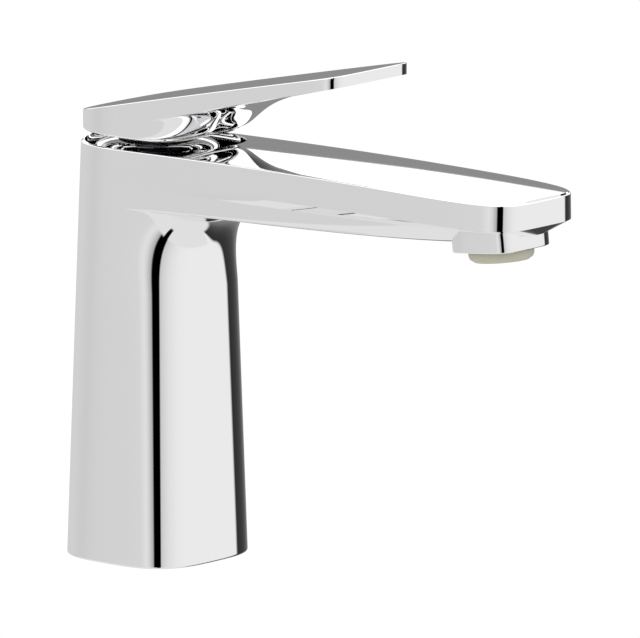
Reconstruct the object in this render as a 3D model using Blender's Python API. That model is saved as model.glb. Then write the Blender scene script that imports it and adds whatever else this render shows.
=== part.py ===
"""Single-lever basin mixer tap, modelled piece by piece.

Run with: blender --background --python part.py
Metres, +Z up.  The tap stands on z = 0 and its spout points along +X.
"""
import math

import bmesh
import bpy
from mathutils import Matrix, Vector

# ------------------------------------------------------------ overall sizes
RIM_HEIGHT = 0.1300
SPOUT_REACH = 0.1567
LEVER_REACH = 0.0891
CARTRIDGE_RADIUS = 0.0175
AERATOR_THREAD_RADIUS = 0.01075
CLEARANCE = 0.0003
RUNNING_CLEARANCE = 0.0004
CUT_MARGIN = 0.0040

# ---------------------------------------------------------------- body column
RIM_WALL = 0.0037
RIM_HALF_X = CARTRIDGE_RADIUS + RIM_WALL
RIM_HALF_Y = RIM_HALF_X + 0.0009
RIM_POWER = 2.6
BASE_HALF_X = RIM_HALF_X + 0.0031
BASE_HALF_Y = RIM_HALF_Y + 0.0029
BASE_POWER = 3.2
BASE_BEVEL = 0.0008
EDGE_BEVEL = 0.0004

# ---------------------------------------------------------------------- spout
SPOUT_TIP_LENGTH = 0.0413
SPOUT_TIP_POWER = 2.7
SPOUT_SIDE_POWER = 5.0
BAND_DEPTH_REAR = 0.0100
BAND_DEPTH_TIP = 0.0080
TOP_RISE = 0.0010
HULL_DEPTH = 0.0180
HULL_RISE = 0.0022
FILLET_HEIGHT = 0.0260
FILLET_REACH = 0.0200
HULL_POWER = 2.2

# -------------------------------------------------------------------- outlet
AERATOR_SHELL_WALL = 0.0008
AERATOR_SHELL_LENGTH = 0.0062
AERATOR_FACE_RADIUS = AERATOR_THREAD_RADIUS - 0.00065
AERATOR_STICK_OUT = 0.0036
AERATOR_LIP = 0.0010
MOUTH_WALL = 0.0022
FACE_THICKNESS = 0.0012
FACE_ROUNDING = 0.0012
JET_PLATE_THICKNESS = 0.0010
REGULATOR_THICKNESS = 0.0008
SCREEN_THICKNESS = 0.0005
FACE_TOP = 0.0026
COLLAR_WALL = 0.00165
COLLAR_HALF = AERATOR_THREAD_RADIUS + COLLAR_WALL
COLLAR_POWER = 4.0
COLLAR_STRAIGHT = 0.0040
COLLAR_FLARE = 0.0050
OUTLET_X = SPOUT_REACH - COLLAR_HALF - COLLAR_FLARE
OUTLET_Z = RIM_HEIGHT - 0.0170
OUTLET_TILT = math.radians(6.0)

# --------------------------------------------------------------- cartridge
SEAT_HEIGHT = RIM_HEIGHT - 0.0460
SHOULDER_HEIGHT = RIM_HEIGHT - 0.0128
NECK_TOP = RIM_HEIGHT - 0.0060
TURRET_TOP = RIM_HEIGHT - 0.0038
PIN_HEIGHT = RIM_HEIGHT - 0.0130
BASE_PLATE_THICKNESS = 0.0077
DISC_THICKNESS = 0.0037
CARRIER_THICKNESS = 0.0045
HOUSING_WALL = 0.0023
NECK_WALL = 0.0024
TURRET_RADIUS = CARTRIDGE_RADIUS - 0.0057
MOVING_DISC_RADIUS = TURRET_RADIUS - 0.0013
PIN_RADIUS = 0.00125
PIN_OFFSET = 0.0020
STEM_HALF = 0.0038
STEM_BALL_RADIUS = 0.0026
SOCKET_FLOOR = 0.0008
LIFT_RANGE = math.radians(9.0)
LIMIT_RING_THICKNESS = 0.0016
SEAL_THICKNESS = 0.0020
SEAL_OUTER = 0.0046
SEAL_INNER = 0.0032
SEAL_PROUD = 0.0001
O_RING_THICKNESS = 0.0016
PORT_RADIUS = 0.0029
PORT_X = -0.0045
PORT_Y = 0.0078
SIDES = ((-1, "hot"), (1, "cold"))
NOTCH_START = 0.0070
OUTLET_PORT_START = 0.0075
OUTLET_PORT_END = 0.0115
OUTLET_PORT_HALF = 0.0042
POCKET_RADIUS = 0.0050
POCKET_X = 0.0030
NUT_THREAD_RADIUS = CARTRIDGE_RADIUS + 0.0012
NUT_THREAD_LENGTH = 0.0068
NUT_HEAD_HEIGHT = 0.0030
NUT_HEAD_STEP = 0.0004
NUT_FLAT_DEPTH = 0.0020

# ----------------------------------------------------------- recess and dome
RECESS_FLOOR = RIM_HEIGHT - 0.0055
RECESS_WALL = 0.0010
RECESS_FRONT = RIM_HALF_X + 0.0058
RECESS_LIP = 0.0035
DOME_TOP = RIM_HEIGHT + 0.0002
DOME_HOLE = TURRET_RADIUS
DOME_WALL = 0.0012
DOME_SKIRT = 0.0022

# --------------------------------------------------- inside of the casting
CAVITY_WALL = 0.0050
CAVITY_TOP = SEAT_HEIGHT - 0.0260
HOSE_SOCKET_RADIUS = 0.0046
HOSE_SOCKET_DEPTH = 0.0120
STUD_SOCKET_RADIUS = 0.0034
STUD_SOCKET_DEPTH = 0.0140
STUD_SOCKET_X = 0.0100
RISER_BEHIND = 0.0022
RISER_AHEAD = 0.00154
RISER_HALF_Y = 0.0060
RISER_ROOF = 0.0008
DUCT_RADIUS = 0.0033
DUCT_START_Z = RIM_HEIGHT - 0.0169
DUCT_LEVEL = RIM_HEIGHT - 0.0114
DUCT_LENGTH = 0.0325
CHANNEL_HALF_WIDTH = 0.0070
CHANNEL_HALF_HEIGHT = DUCT_RADIUS + CLEARANCE
BORE_STEP = 0.0016
GASKET_INSET = 0.0020
GASKET_WIDTH = 0.0021
GASKET_THICKNESS = 0.0020

# ---------------------------------------------------------------------- lever
HUB_GAP = 0.0034
HUB_BOTTOM = RIM_HEIGHT + HUB_GAP
HUB_ROUNDING = 0.0014
HUB_POWER = 4.0
KEEL_LENGTH = 0.0110
KEEL_POWER = 2.5
KEEL_END = 0.93
HUB_HOLLOW_RADIUS = TURRET_RADIUS + 0.0007
HUB_HOLLOW_HEIGHT = 0.0022
LEVER_HEIGHT = HUB_BOTTOM + 0.0100
LEVER_SLOPE = 0.2209
LEVER_ARCH = 0.080
LEVER_TIP_LENGTH = 0.0184
LEVER_NARROWING = 0.79
LEVER_HALF_WIDTH = RIM_HALF_Y - 0.0007
LEVER_TIP_POWER = 3.2
LEVER_SIDE_POWER = 7.0
LEVER_REAR_POWER = 2.5
LEVER_REAR = RIM_HALF_X - 0.0001
LEVER_THICKNESS_REAR = 0.0066
LEVER_THICKNESS_TIP = 0.0036
LEVER_REAR_BAND = 0.0024
HUB_FRONT = LEVER_REAR + 0.0014
LEVER_ROOF = 0.0024
SCREW_RADIUS = 0.0012
SCREW_LENGTH = 0.0060
SCREW_LEVEL = 0.0030
PLUG_RADIUS = 0.0015
PLUG_LENGTH = 0.0022

# ----------------------------------------------------------------- resolution
SIDE_STEPS = 12
FRONT_STEPS = 20
FINE_STEPS = 120
HUB_STEPS = 10
ROUND_STEPS = 40
SMALL_STEPS = 20


# =================================================================== outlines
def rear_curve(half_x, half_y, power, steps):
    """Points of the rear half outline, from +Y round the back to -Y."""
    points = []
    for step in range(steps + 1):
        angle = math.pi / 2 + math.pi * step / steps
        cosine, sine = math.cos(angle), math.sin(angle)
        x = -half_x * abs(cosine) ** (2 / power)
        y = half_y * math.copysign(abs(sine) ** (2 / power), sine)
        points.append((x, y))
    return points


def front_path(start, reach, half_y, tip_power, side_power):
    """Fine path of the near front quarter: straight side up to start, then the rounded tip."""
    points = [(0.0, -half_y)]
    if start > 0.0:
        points.append((start, -half_y))
    for step in range(1, FINE_STEPS + 1):
        share = step / FINE_STEPS
        angle = math.pi / 2 * share * share * (3.0 - 2.0 * share)
        x = start + (reach - start) * math.sin(angle) ** (2 / tip_power)
        y = -half_y * abs(math.cos(angle)) ** (2 / side_power)
        points.append((x, y))
    points[-1] = (reach, 0.0)
    return points


def even_points(path, steps):
    """Points along a path, spaced by a mean of its length and of how much it turns."""
    travelled = [0.0]
    turned_by = [0.0]
    heading = None
    for (x0, y0), (x1, y1) in zip(path, path[1:]):
        travelled.append(travelled[-1] + math.hypot(x1 - x0, y1 - y0))
        new_heading = math.atan2(y1 - y0, x1 - x0)
        turn = 0.0 if heading is None else abs(new_heading - heading)
        turned_by.append(turned_by[-1] + turn)
        heading = new_heading
    score = [length / travelled[-1] + turn / turned_by[-1]
             for length, turn in zip(travelled, turned_by)]
    points = []
    position = 0
    for step in range(steps + 1):
        goal = score[-1] * step / steps
        while position < len(path) - 2 and score[position + 1] < goal:
            position += 1
        gap = score[position + 1] - score[position]
        share = (goal - score[position]) / gap
        points.append((blend(path[position][0], path[position + 1][0], share),
                       blend(path[position][1], path[position + 1][1], share)))
    return points


def plan_outline(rear_x, half_y, rear_power, start, reach, tip_power, side_power):
    """Closed outline: squared rear, straight sides up to start, rounded front."""
    near = even_points(front_path(start, reach, half_y, tip_power, side_power), FRONT_STEPS)
    far = [(x, -y) for x, y in reversed(near)]
    return rear_curve(rear_x, half_y, rear_power, 2 * SIDE_STEPS) + near[1:] + far[1:-1]


def circle(radius, steps=ROUND_STEPS):
    """Closed circle of points about the origin."""
    return [(radius * math.cos(2 * math.pi * step / steps),
             radius * math.sin(2 * math.pi * step / steps)) for step in range(steps)]


def blend(first, second, share):
    """Value part of the way from first to second."""
    return first + (second - first) * share


# ===================================================================== meshes
def to_object(name, mesh_bm, parent=None, origin=(0.0, 0.0, 0.0)):
    """Turn a bmesh in world coordinates into an object with the given origin."""
    bmesh.ops.recalc_face_normals(mesh_bm, faces=mesh_bm.faces)
    bmesh.ops.translate(mesh_bm, verts=mesh_bm.verts, vec=-Vector(origin))
    mesh = bpy.data.meshes.new(name)
    mesh_bm.to_mesh(mesh)
    mesh_bm.free()
    item = bpy.data.objects.new(name, mesh)
    bpy.context.scene.collection.objects.link(item)
    item.location = origin
    if parent is not None:
        item.parent = parent
        item.location = Vector(origin) - parent_place(parent)
    return item


def parent_place(item):
    """World place of an unrotated empty, whose own parents are unrotated too."""
    place = Vector(item.location)
    if item.parent is not None:
        place = place + parent_place(item.parent)
    return place


def loft(rings):
    """Closed solid through rings of 3D points, all with the same point count."""
    mesh_bm = bmesh.new()
    rows = [[mesh_bm.verts.new(point) for point in ring] for ring in rings]
    count = len(rows[0])
    for lower, upper in zip(rows, rows[1:]):
        for index in range(count):
            after = (index + 1) % count
            mesh_bm.faces.new((lower[index], lower[after], upper[after], upper[index]))
    mesh_bm.faces.new(list(reversed(rows[0])))
    mesh_bm.faces.new(rows[-1])
    return mesh_bm


def turned(profile, steps=ROUND_STEPS, centre=(0.0, 0.0)):
    """Solid of revolution about Z from a closed (radius, height) profile.

    Points on the axis become single vertices, so a solid piece starts and ends at radius 0.
    """
    mesh_bm = bmesh.new()
    rows = []
    for radius, height in profile:
        if radius == 0.0:
            rows.append([mesh_bm.verts.new((centre[0], centre[1], height))])
        else:
            rows.append([mesh_bm.verts.new((centre[0] + x, centre[1] + y, height))
                         for x, y in circle(radius, steps)])
    pairs = list(zip(rows, rows[1:]))
    if profile[0][0] > 0.0:
        pairs.append((rows[-1], rows[0]))
    for first, second in pairs:
        join_rows(mesh_bm, first, second)
    return mesh_bm


def join_rows(mesh_bm, first, second):
    """Faces between two rings, or between a ring and a single vertex."""
    count = max(len(first), len(second))
    for index in range(count):
        after = (index + 1) % count
        corners = [first[index % len(first)], first[after % len(first)],
                   second[after % len(second)], second[index % len(second)]]
        unique = list(dict.fromkeys(corners))
        if len(unique) >= 3:
            mesh_bm.faces.new(unique)


def tube_profile(inner, outer, bottom, top):
    """Rectangular ring profile."""
    return [(inner, bottom), (outer, bottom), (outer, top), (inner, top)]


def rod_profile(radius, bottom, top):
    """Profile of a plain round rod."""
    return [(0.0, bottom), (radius, bottom), (radius, top), (0.0, top)]


def block(low, high):
    """Box between two corners."""
    mesh_bm = bmesh.new()
    bmesh.ops.create_cube(mesh_bm, size=1.0)
    low, high = Vector(low), Vector(high)
    for vert in mesh_bm.verts:
        vert.co = [low[axis] + (vert.co[axis] + 0.5) * (high[axis] - low[axis])
                   for axis in range(3)]
    return mesh_bm


def turned_about(mesh_bm, place, direction):
    """Turn a mesh made about Z so that it lies along a direction from a place."""
    spin = Vector((0.0, 0.0, 1.0)).rotation_difference(Vector(direction)).to_matrix().to_4x4()
    mesh_bm.transform(Matrix.Translation(Vector(place)) @ spin)
    return mesh_bm


# ================================================================== materials
def material(name, colour, roughness, metallic):
    """Principled material with a flat colour."""
    made = bpy.data.materials.new(name)
    made.use_nodes = True
    shader = made.node_tree.nodes["Principled BSDF"]
    shader.inputs["Base Color"].default_value = (*colour, 1.0)
    shader.inputs["Roughness"].default_value = roughness
    shader.inputs["Metallic"].default_value = metallic
    made.diffuse_color = (*colour, 1.0)
    return made


FINISHES = {
    "chrome": ((0.90, 0.90, 0.91), 0.04, 1.0),
    "brass": ((0.78, 0.60, 0.30), 0.30, 1.0),
    "steel": ((0.62, 0.62, 0.63), 0.28, 1.0),
    "housing_plastic": ((0.85, 0.85, 0.83), 0.45, 0.0),
    "turret_plastic": ((0.20, 0.32, 0.52), 0.45, 0.0),
    "limit_plastic": ((0.65, 0.12, 0.08), 0.45, 0.0),
    "outlet_plastic": ((0.40, 0.39, 0.30), 0.50, 0.0),
    "ceramic": ((0.88, 0.86, 0.82), 0.25, 0.0),
    "rubber": ((0.03, 0.03, 0.03), 0.70, 0.0),
}


def finish(item, slot, smooth=True):
    """Give an object its own copy of a finish and its shading."""
    item.data.materials.append(material(item.name + "_" + slot, *FINISHES[slot]))
    if smooth:
        item.data.shade_smooth()
        item.data.set_sharp_from_angle(angle=math.radians(35.0))
    return item


def cut(target, mesh_bm, label, operation="DIFFERENCE"):
    """Add a Boolean modifier with its own hidden cutter."""
    cutter = to_object(target.name + "_" + label, mesh_bm)
    cutter.display_type = "WIRE"
    cutter.hide_render = True
    modifier = target.modifiers.new(label, "BOOLEAN")
    modifier.operation = operation
    modifier.solver = "EXACT"
    modifier.object = cutter
    return cutter


# ================================================================ body casting
def top_height(x):
    """Height of the spout's top at x, a gentle arch from the rim to the tip."""
    share = min(max(x / SPOUT_REACH, 0.0), 1.0)
    return RIM_HEIGHT + TOP_RISE * math.sin(math.pi * share)


def band_bottom(x):
    """Height of the lower edge of the spout's side band at x."""
    share = min(max(x / SPOUT_REACH, 0.0), 1.0)
    return top_height(x) - blend(BAND_DEPTH_REAR, BAND_DEPTH_TIP, share)


def column_size(height):
    """Half sizes and squareness of the tapering column at a height."""
    share = height / RIM_HEIGHT
    return (blend(BASE_HALF_X, RIM_HALF_X, share),
            blend(BASE_HALF_Y, RIM_HALF_Y, share),
            blend(BASE_POWER, RIM_POWER, share))


def column_ring(height, inset=0.0, reach=None, power=None):
    """Ring of the column, with its front drawn out to reach where asked."""
    half_x, half_y, own_power = column_size(height)
    half_x -= inset
    half_y -= inset
    front = half_x if reach is None else reach - inset
    front_power = own_power if power is None else power
    outline = plan_outline(half_x, half_y, own_power, 0.0, front, front_power, front_power)
    return [(x, y, height) for x, y in outline]


def spout_ring(level, height_of, inset=0.0):
    """Ring round column and spout, as wide as the column at a level, at a height that follows x."""
    half_x, half_y, power = column_size(level)
    outline = plan_outline(half_x - inset, half_y - inset, power,
                           SPOUT_REACH - SPOUT_TIP_LENGTH, SPOUT_REACH - inset,
                           SPOUT_TIP_POWER, SPOUT_SIDE_POWER)
    return [(x, y, height_of(x)) for x, y in outline]


def underside_rings():
    """Rings from the column's front, through the fillet, along the spout's underside."""
    hull_base = RIM_HEIGHT - HULL_DEPTH
    start = hull_base - FILLET_HEIGHT
    rings = []
    for share in (0.0, 0.3, 0.55, 0.75, 0.88, 0.96, 1.0):
        height = start + FILLET_HEIGHT * share
        flare = FILLET_REACH * (1.0 - math.sqrt(1.0 - share ** 3))
        reach = column_size(height)[0] + flare
        power = blend(column_size(height)[2], HULL_POWER, share)
        rings.append(column_ring(height, reach=reach, power=power))
    hull_start = column_size(hull_base)[0] + FILLET_REACH
    for share in (0.15, 0.35, 0.55, 0.73, 0.86, 0.94, 0.985):
        reach = blend(hull_start, SPOUT_REACH, share)
        climb = HULL_RISE * share + (BAND_DEPTH_TIP - HULL_RISE) * share ** 8
        rings.append(column_ring(hull_base + climb, reach=reach, power=HULL_POWER))
    return rings


def body_outer():
    """Outer skin of the column and spout."""
    rings = [column_ring(0.0, inset=BASE_BEVEL), column_ring(BASE_BEVEL)]
    straight_top = RIM_HEIGHT - HULL_DEPTH - FILLET_HEIGHT
    rings += [column_ring(straight_top * share) for share in (0.35, 0.7)]
    rings += underside_rings()
    rings.append(spout_ring(RIM_HEIGHT - BAND_DEPTH_REAR, band_bottom))
    rings.append(spout_ring(RIM_HEIGHT, lambda x: top_height(x) - EDGE_BEVEL))
    rings.append(spout_ring(RIM_HEIGHT, top_height, inset=EDGE_BEVEL))
    return loft(rings)


def outlet_frame():
    """Matrix that puts a mesh made about Z, pointing down from 0, at the tilted outlet."""
    tilt = Matrix.Rotation(-OUTLET_TILT, 4, "Y")
    return Matrix.Translation((OUTLET_X, 0.0, OUTLET_Z)) @ tilt


def collar():
    """Squared collar under the tip, flaring into the spout's underside."""
    rings = []
    levels = [(0.0, -EDGE_BEVEL), (EDGE_BEVEL, 0.0), (COLLAR_STRAIGHT, 0.0)]
    for share in (0.35, 0.65, 0.85, 1.0):
        rise = COLLAR_FLARE * share
        spread = COLLAR_FLARE * 0.5 * (1.0 - math.sqrt(1.0 - (0.95 * share) ** 2))
        levels.append((COLLAR_STRAIGHT + rise, spread))
    for height, spread in levels:
        half = COLLAR_HALF + spread
        outline = plan_outline(half, half, COLLAR_POWER, 0.0, half, COLLAR_POWER, COLLAR_POWER)
        rings.append([(x, y, height) for x, y in outline])
    mesh_bm = loft(rings)
    mesh_bm.transform(outlet_frame())
    return mesh_bm


def recess_cutter():
    """Shallow recess in the top that clears the turning hub, with a rounded front lip."""
    rings = []
    depth = RIM_HEIGHT + TOP_RISE - RECESS_FLOOR
    levels = [(RECESS_FLOOR, 0.0)]
    for share in (0.5, 0.75, 0.9, 1.0):
        spread = RECESS_LIP * (1.0 - math.sqrt(1.0 - share ** 2))
        levels.append((RECESS_FLOOR + depth * share, spread))
    levels.append((RECESS_FLOOR + depth + RECESS_LIP, RECESS_LIP))
    for height, spread in levels:
        outline = plan_outline(RIM_HALF_X - RECESS_WALL, RIM_HALF_Y - RECESS_WALL, RIM_POWER,
                               0.0, RECESS_FRONT + spread, RIM_POWER, RIM_POWER)
        rings.append([(x, y, height) for x, y in outline])
    return loft(rings)


def cavity_cutter():
    """Open hollow in the foot where the supply hoses enter."""
    rings = []
    for height in (-CUT_MARGIN, CAVITY_TOP):
        half_x, half_y, power = column_size(max(height, 0.0))
        outline = plan_outline(half_x - CAVITY_WALL, half_y - CAVITY_WALL, power, 0.0,
                               half_x - CAVITY_WALL, power, power)
        rings.append([(x, y, height) for x, y in outline])
    return loft(rings)


def chamber_cutter():
    """Stepped bore for the cartridge and its nut."""
    bore = CARTRIDGE_RADIUS + RUNNING_CLEARANCE
    thread = NUT_THREAD_RADIUS + CLEARANCE
    thread_floor = SHOULDER_HEIGHT
    top = RECESS_FLOOR + CUT_MARGIN
    return turned([(0.0, SEAT_HEIGHT), (bore, SEAT_HEIGHT), (bore, thread_floor),
                   (thread, thread_floor), (thread, top), (0.0, top)])


def riser_cutter():
    """Slot in the chamber's front wall that takes mixed water up to the duct."""
    front = CARTRIDGE_RADIUS + RUNNING_CLEARANCE
    return block((front - RISER_BEHIND, -RISER_HALF_Y, SEAT_HEIGHT + SEAL_THICKNESS),
                 (front + RISER_AHEAD, RISER_HALF_Y, SHOULDER_HEIGHT - RISER_ROOF))


def duct_cutter():
    """Sloping drilling from the riser into the spout's channel."""
    start = Vector((CARTRIDGE_RADIUS - RISER_BEHIND, 0.0, DUCT_START_Z))
    end = Vector((CARTRIDGE_RADIUS + DUCT_LENGTH, 0.0, DUCT_LEVEL))
    rod = turned(rod_profile(DUCT_RADIUS, 0.0, (end - start).length), SMALL_STEPS)
    return turned_about(rod, start, end - start)


def channel_cutter():
    """Flat channel along the spout to above the outlet."""
    rings = []
    for x in (CARTRIDGE_RADIUS + DUCT_LENGTH - DUCT_RADIUS, OUTLET_X):
        rings.append([(x, y * CHANNEL_HALF_WIDTH, DUCT_LEVEL + z * CHANNEL_HALF_HEIGHT)
                      for y, z in circle(1.0, SMALL_STEPS)])
    return loft(rings)


def aerator_bore():
    """Bore in the collar for the aerator, up into the channel."""
    radius = AERATOR_THREAD_RADIUS
    depth = AERATOR_SHELL_LENGTH + SEAL_THICKNESS + CLEARANCE
    narrow = radius - SEAL_THICKNESS
    mesh_bm = turned([(0.0, -CUT_MARGIN), (radius, -CUT_MARGIN), (radius, depth),
                      (narrow, depth), (narrow, depth + BORE_STEP), (0.0, depth + BORE_STEP)])
    mesh_bm.transform(outlet_frame())
    return mesh_bm


def gasket_size():
    """Outer half sizes of the base gasket."""
    return BASE_HALF_X - GASKET_INSET, BASE_HALF_Y - GASKET_INSET


def gasket_ring(offset, height):
    """Ring of the gasket's outline, moved in by an offset."""
    half_x, half_y = gasket_size()
    outline = plan_outline(half_x - offset, half_y - offset, BASE_POWER, 0.0,
                           half_x - offset, BASE_POWER, BASE_POWER)
    return [(x, y, height) for x, y in outline]


def ring_solid(outer_offset, inner_offset, bottom, top):
    """Flat ring that follows the gasket's outline."""
    mesh_bm = bmesh.new()
    rows = [[mesh_bm.verts.new(point) for point in gasket_ring(offset, height)]
            for offset, height in ((inner_offset, bottom), (outer_offset, bottom),
                                   (outer_offset, top), (inner_offset, top))]
    for first, second in zip(rows, rows[1:] + rows[:1]):
        join_rows(mesh_bm, first, second)
    return mesh_bm


def make_body():
    """Body casting: column and spout in one piece, cored and machined inside."""
    body = to_object("body_casting", body_outer())
    cut(body, cavity_cutter(), "cavity")
    cut(body, collar(), "collar", "UNION")
    cut(body, recess_cutter(), "recess")
    cut(body, chamber_cutter(), "chamber")
    cut(body, riser_cutter(), "riser")
    cut(body, duct_cutter(), "duct")
    cut(body, channel_cutter(), "channel")
    cut(body, aerator_bore(), "aerator_bore")
    groove = ring_solid(-CLEARANCE, GASKET_WIDTH + CLEARANCE, -CUT_MARGIN,
                        GASKET_THICKNESS + CLEARANCE)
    cut(body, groove, "gasket_groove")
    for side, label in SIDES:
        socket_top = CAVITY_TOP + HOSE_SOCKET_DEPTH
        place = (PORT_X, side * PORT_Y)
        profile = [(0.0, CAVITY_TOP - CUT_MARGIN), (HOSE_SOCKET_RADIUS, CAVITY_TOP - CUT_MARGIN),
                   (HOSE_SOCKET_RADIUS, socket_top), (PORT_RADIUS, socket_top),
                   (PORT_RADIUS, SEAT_HEIGHT + CUT_MARGIN), (0.0, SEAT_HEIGHT + CUT_MARGIN)]
        cut(body, turned(profile, SMALL_STEPS, place), label + "_inlet")
    stud = rod_profile(STUD_SOCKET_RADIUS, CAVITY_TOP - CUT_MARGIN,
                       CAVITY_TOP + STUD_SOCKET_DEPTH)
    cut(body, turned(stud, SMALL_STEPS, (STUD_SOCKET_X, 0.0)), "stud_socket")
    return finish(body, "chrome")


def make_base_gasket():
    """Rubber gasket in the groove under the foot, flush with the worktop."""
    gasket = to_object("base_gasket", ring_solid(0.0, GASKET_WIDTH, 0.0, GASKET_THICKNESS))
    return finish(gasket, "rubber", smooth=False)


# =================================================================== cartridge
def stack_levels():
    """Heights of the faces of the cartridge's stack, from the seat up."""
    base_bottom = SEAT_HEIGHT + CLEARANCE
    base_top = base_bottom + BASE_PLATE_THICKNESS
    fixed_bottom = base_top + CLEARANCE
    fixed_top = fixed_bottom + DISC_THICKNESS
    moving_bottom = fixed_top + CLEARANCE
    moving_top = moving_bottom + DISC_THICKNESS
    carrier_bottom = moving_top + CLEARANCE
    carrier_top = carrier_bottom + CARRIER_THICKNESS
    return {"base_bottom": base_bottom, "base_top": base_top,
            "fixed_bottom": fixed_bottom, "fixed_top": fixed_top,
            "moving_bottom": moving_bottom, "moving_top": moving_top,
            "carrier_bottom": carrier_bottom, "carrier_top": carrier_top}


def ball_height():
    """Height of the centre of the stem's ball, just above the carrier's socket floor."""
    return stack_levels()["carrier_bottom"] + SOCKET_FLOOR + 2 * CLEARANCE + STEM_BALL_RADIUS


def port_rod(side, bottom, top, radius=PORT_RADIUS):
    """Round cutter on the hot or cold port."""
    return turned(rod_profile(radius, bottom, top), SMALL_STEPS, (PORT_X, side * PORT_Y))


def make_cartridge_base():
    """Plastic foot of the cartridge, with hot and cold ports and an open front outlet."""
    levels = stack_levels()
    bottom, top = levels["base_bottom"], levels["base_top"]
    base = to_object("cartridge_base", turned(rod_profile(CARTRIDGE_RADIUS, bottom, top)))
    groove = SEAL_OUTER + CLEARANCE
    profile = [(0.0, bottom - CUT_MARGIN), (groove, bottom - CUT_MARGIN),
               (groove, bottom + SEAL_THICKNESS), (PORT_RADIUS, bottom + SEAL_THICKNESS),
               (PORT_RADIUS, top - SEAL_THICKNESS), (groove, top - SEAL_THICKNESS),
               (groove, top + CUT_MARGIN), (0.0, top + CUT_MARGIN)]
    for side, label in SIDES:
        cut(base, turned(profile, SMALL_STEPS, (PORT_X, side * PORT_Y)), label + "_port")
    outlet = block((NOTCH_START, -RISER_HALF_Y, bottom + SEAL_THICKNESS),
                   (CARTRIDGE_RADIUS + CUT_MARGIN, RISER_HALF_Y, top + CUT_MARGIN))
    cut(base, outlet, "outlet_notch")
    return finish(base, "housing_plastic")


def make_port_seals():
    """Foot seals under the base and disc seals above it, hot and cold."""
    levels = stack_levels()
    places = {"foot": levels["base_bottom"] - SEAL_PROUD,
              "disc": levels["base_top"] - SEAL_THICKNESS + CLEARANCE}
    for side, label in SIDES:
        for kind, bottom in places.items():
            top = bottom + SEAL_THICKNESS - CLEARANCE + SEAL_PROUD
            profile = tube_profile(SEAL_INNER, SEAL_OUTER, bottom, top)
            seal = to_object(label + "_" + kind + "_seal",
                             turned(profile, SMALL_STEPS, (PORT_X, side * PORT_Y)))
            finish(seal, "rubber")


def make_fixed_disc():
    """Lower ceramic disc with its two inlet ports and its outlet port."""
    levels = stack_levels()
    bottom, top = levels["fixed_bottom"], levels["fixed_top"]
    radius = CARTRIDGE_RADIUS - HOUSING_WALL - RUNNING_CLEARANCE
    disc = to_object("fixed_ceramic_disc", turned(rod_profile(radius, bottom, top)))
    for side, label in SIDES:
        cut(disc, port_rod(side, bottom - CUT_MARGIN, top + CUT_MARGIN), label + "_port")
    outlet = block((OUTLET_PORT_START, -OUTLET_PORT_HALF, bottom - CUT_MARGIN),
                   (OUTLET_PORT_END, OUTLET_PORT_HALF, top + CUT_MARGIN))
    cut(disc, outlet, "outlet_port")
    return finish(disc, "ceramic")


def make_moving_disc(parent):
    """Upper ceramic disc, with the mixing pocket in its underside."""
    levels = stack_levels()
    bottom, top = levels["moving_bottom"], levels["moving_top"]
    disc = to_object("moving_ceramic_disc", turned(rod_profile(MOVING_DISC_RADIUS, bottom, top)),
                     parent, parent_place(parent))
    pocket = turned(rod_profile(POCKET_RADIUS, bottom - CUT_MARGIN, bottom + DISC_THICKNESS / 2),
                    SMALL_STEPS, (POCKET_X, 0.0))
    cut(disc, pocket, "mixing_pocket")
    return finish(disc, "ceramic")


def make_disc_carrier(parent):
    """Plastic carrier that the stem's ball pushes, above the moving disc."""
    levels = stack_levels()
    bottom, top = levels["carrier_bottom"], levels["carrier_top"]
    carrier = to_object("disc_carrier", turned(rod_profile(MOVING_DISC_RADIUS, bottom, top)),
                        parent, parent_place(parent))
    ball_room = STEM_BALL_RADIUS + RUNNING_CLEARANCE
    socket = block((-PIN_OFFSET - ball_room, -ball_room, bottom + SOCKET_FLOOR),
                   (-PIN_OFFSET + ball_room, ball_room, top + CUT_MARGIN))
    cut(carrier, socket, "stem_socket")
    return finish(carrier, "turret_plastic")


def make_cartridge_housing():
    """Outer shell of the cartridge, with its neck and front outlet window."""
    levels = stack_levels()
    bottom = levels["base_top"] + CLEARANCE
    inner = CARTRIDGE_RADIUS - HOUSING_WALL
    neck_inner = TURRET_RADIUS + RUNNING_CLEARANCE
    neck_outer = neck_inner + NECK_WALL
    ledge = levels["carrier_top"] + CLEARANCE
    profile = [(inner, bottom), (CARTRIDGE_RADIUS, bottom), (CARTRIDGE_RADIUS, SHOULDER_HEIGHT),
               (neck_outer, SHOULDER_HEIGHT), (neck_outer, NECK_TOP), (neck_inner, NECK_TOP),
               (neck_inner, ledge), (inner, ledge)]
    housing = to_object("cartridge_housing", turned(profile))
    return finish(housing, "housing_plastic")


def make_housing_seal():
    """O-ring on the housing's shoulder, squeezed by the nut."""
    neck_outer = TURRET_RADIUS + RUNNING_CLEARANCE + NECK_WALL
    bottom = SHOULDER_HEIGHT + CLEARANCE
    inner = neck_outer + CLEARANCE
    profile = tube_profile(inner, inner + O_RING_THICKNESS, bottom, bottom + O_RING_THICKNESS)
    return finish(to_object("shoulder_o_ring", turned(profile)), "rubber")


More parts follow.
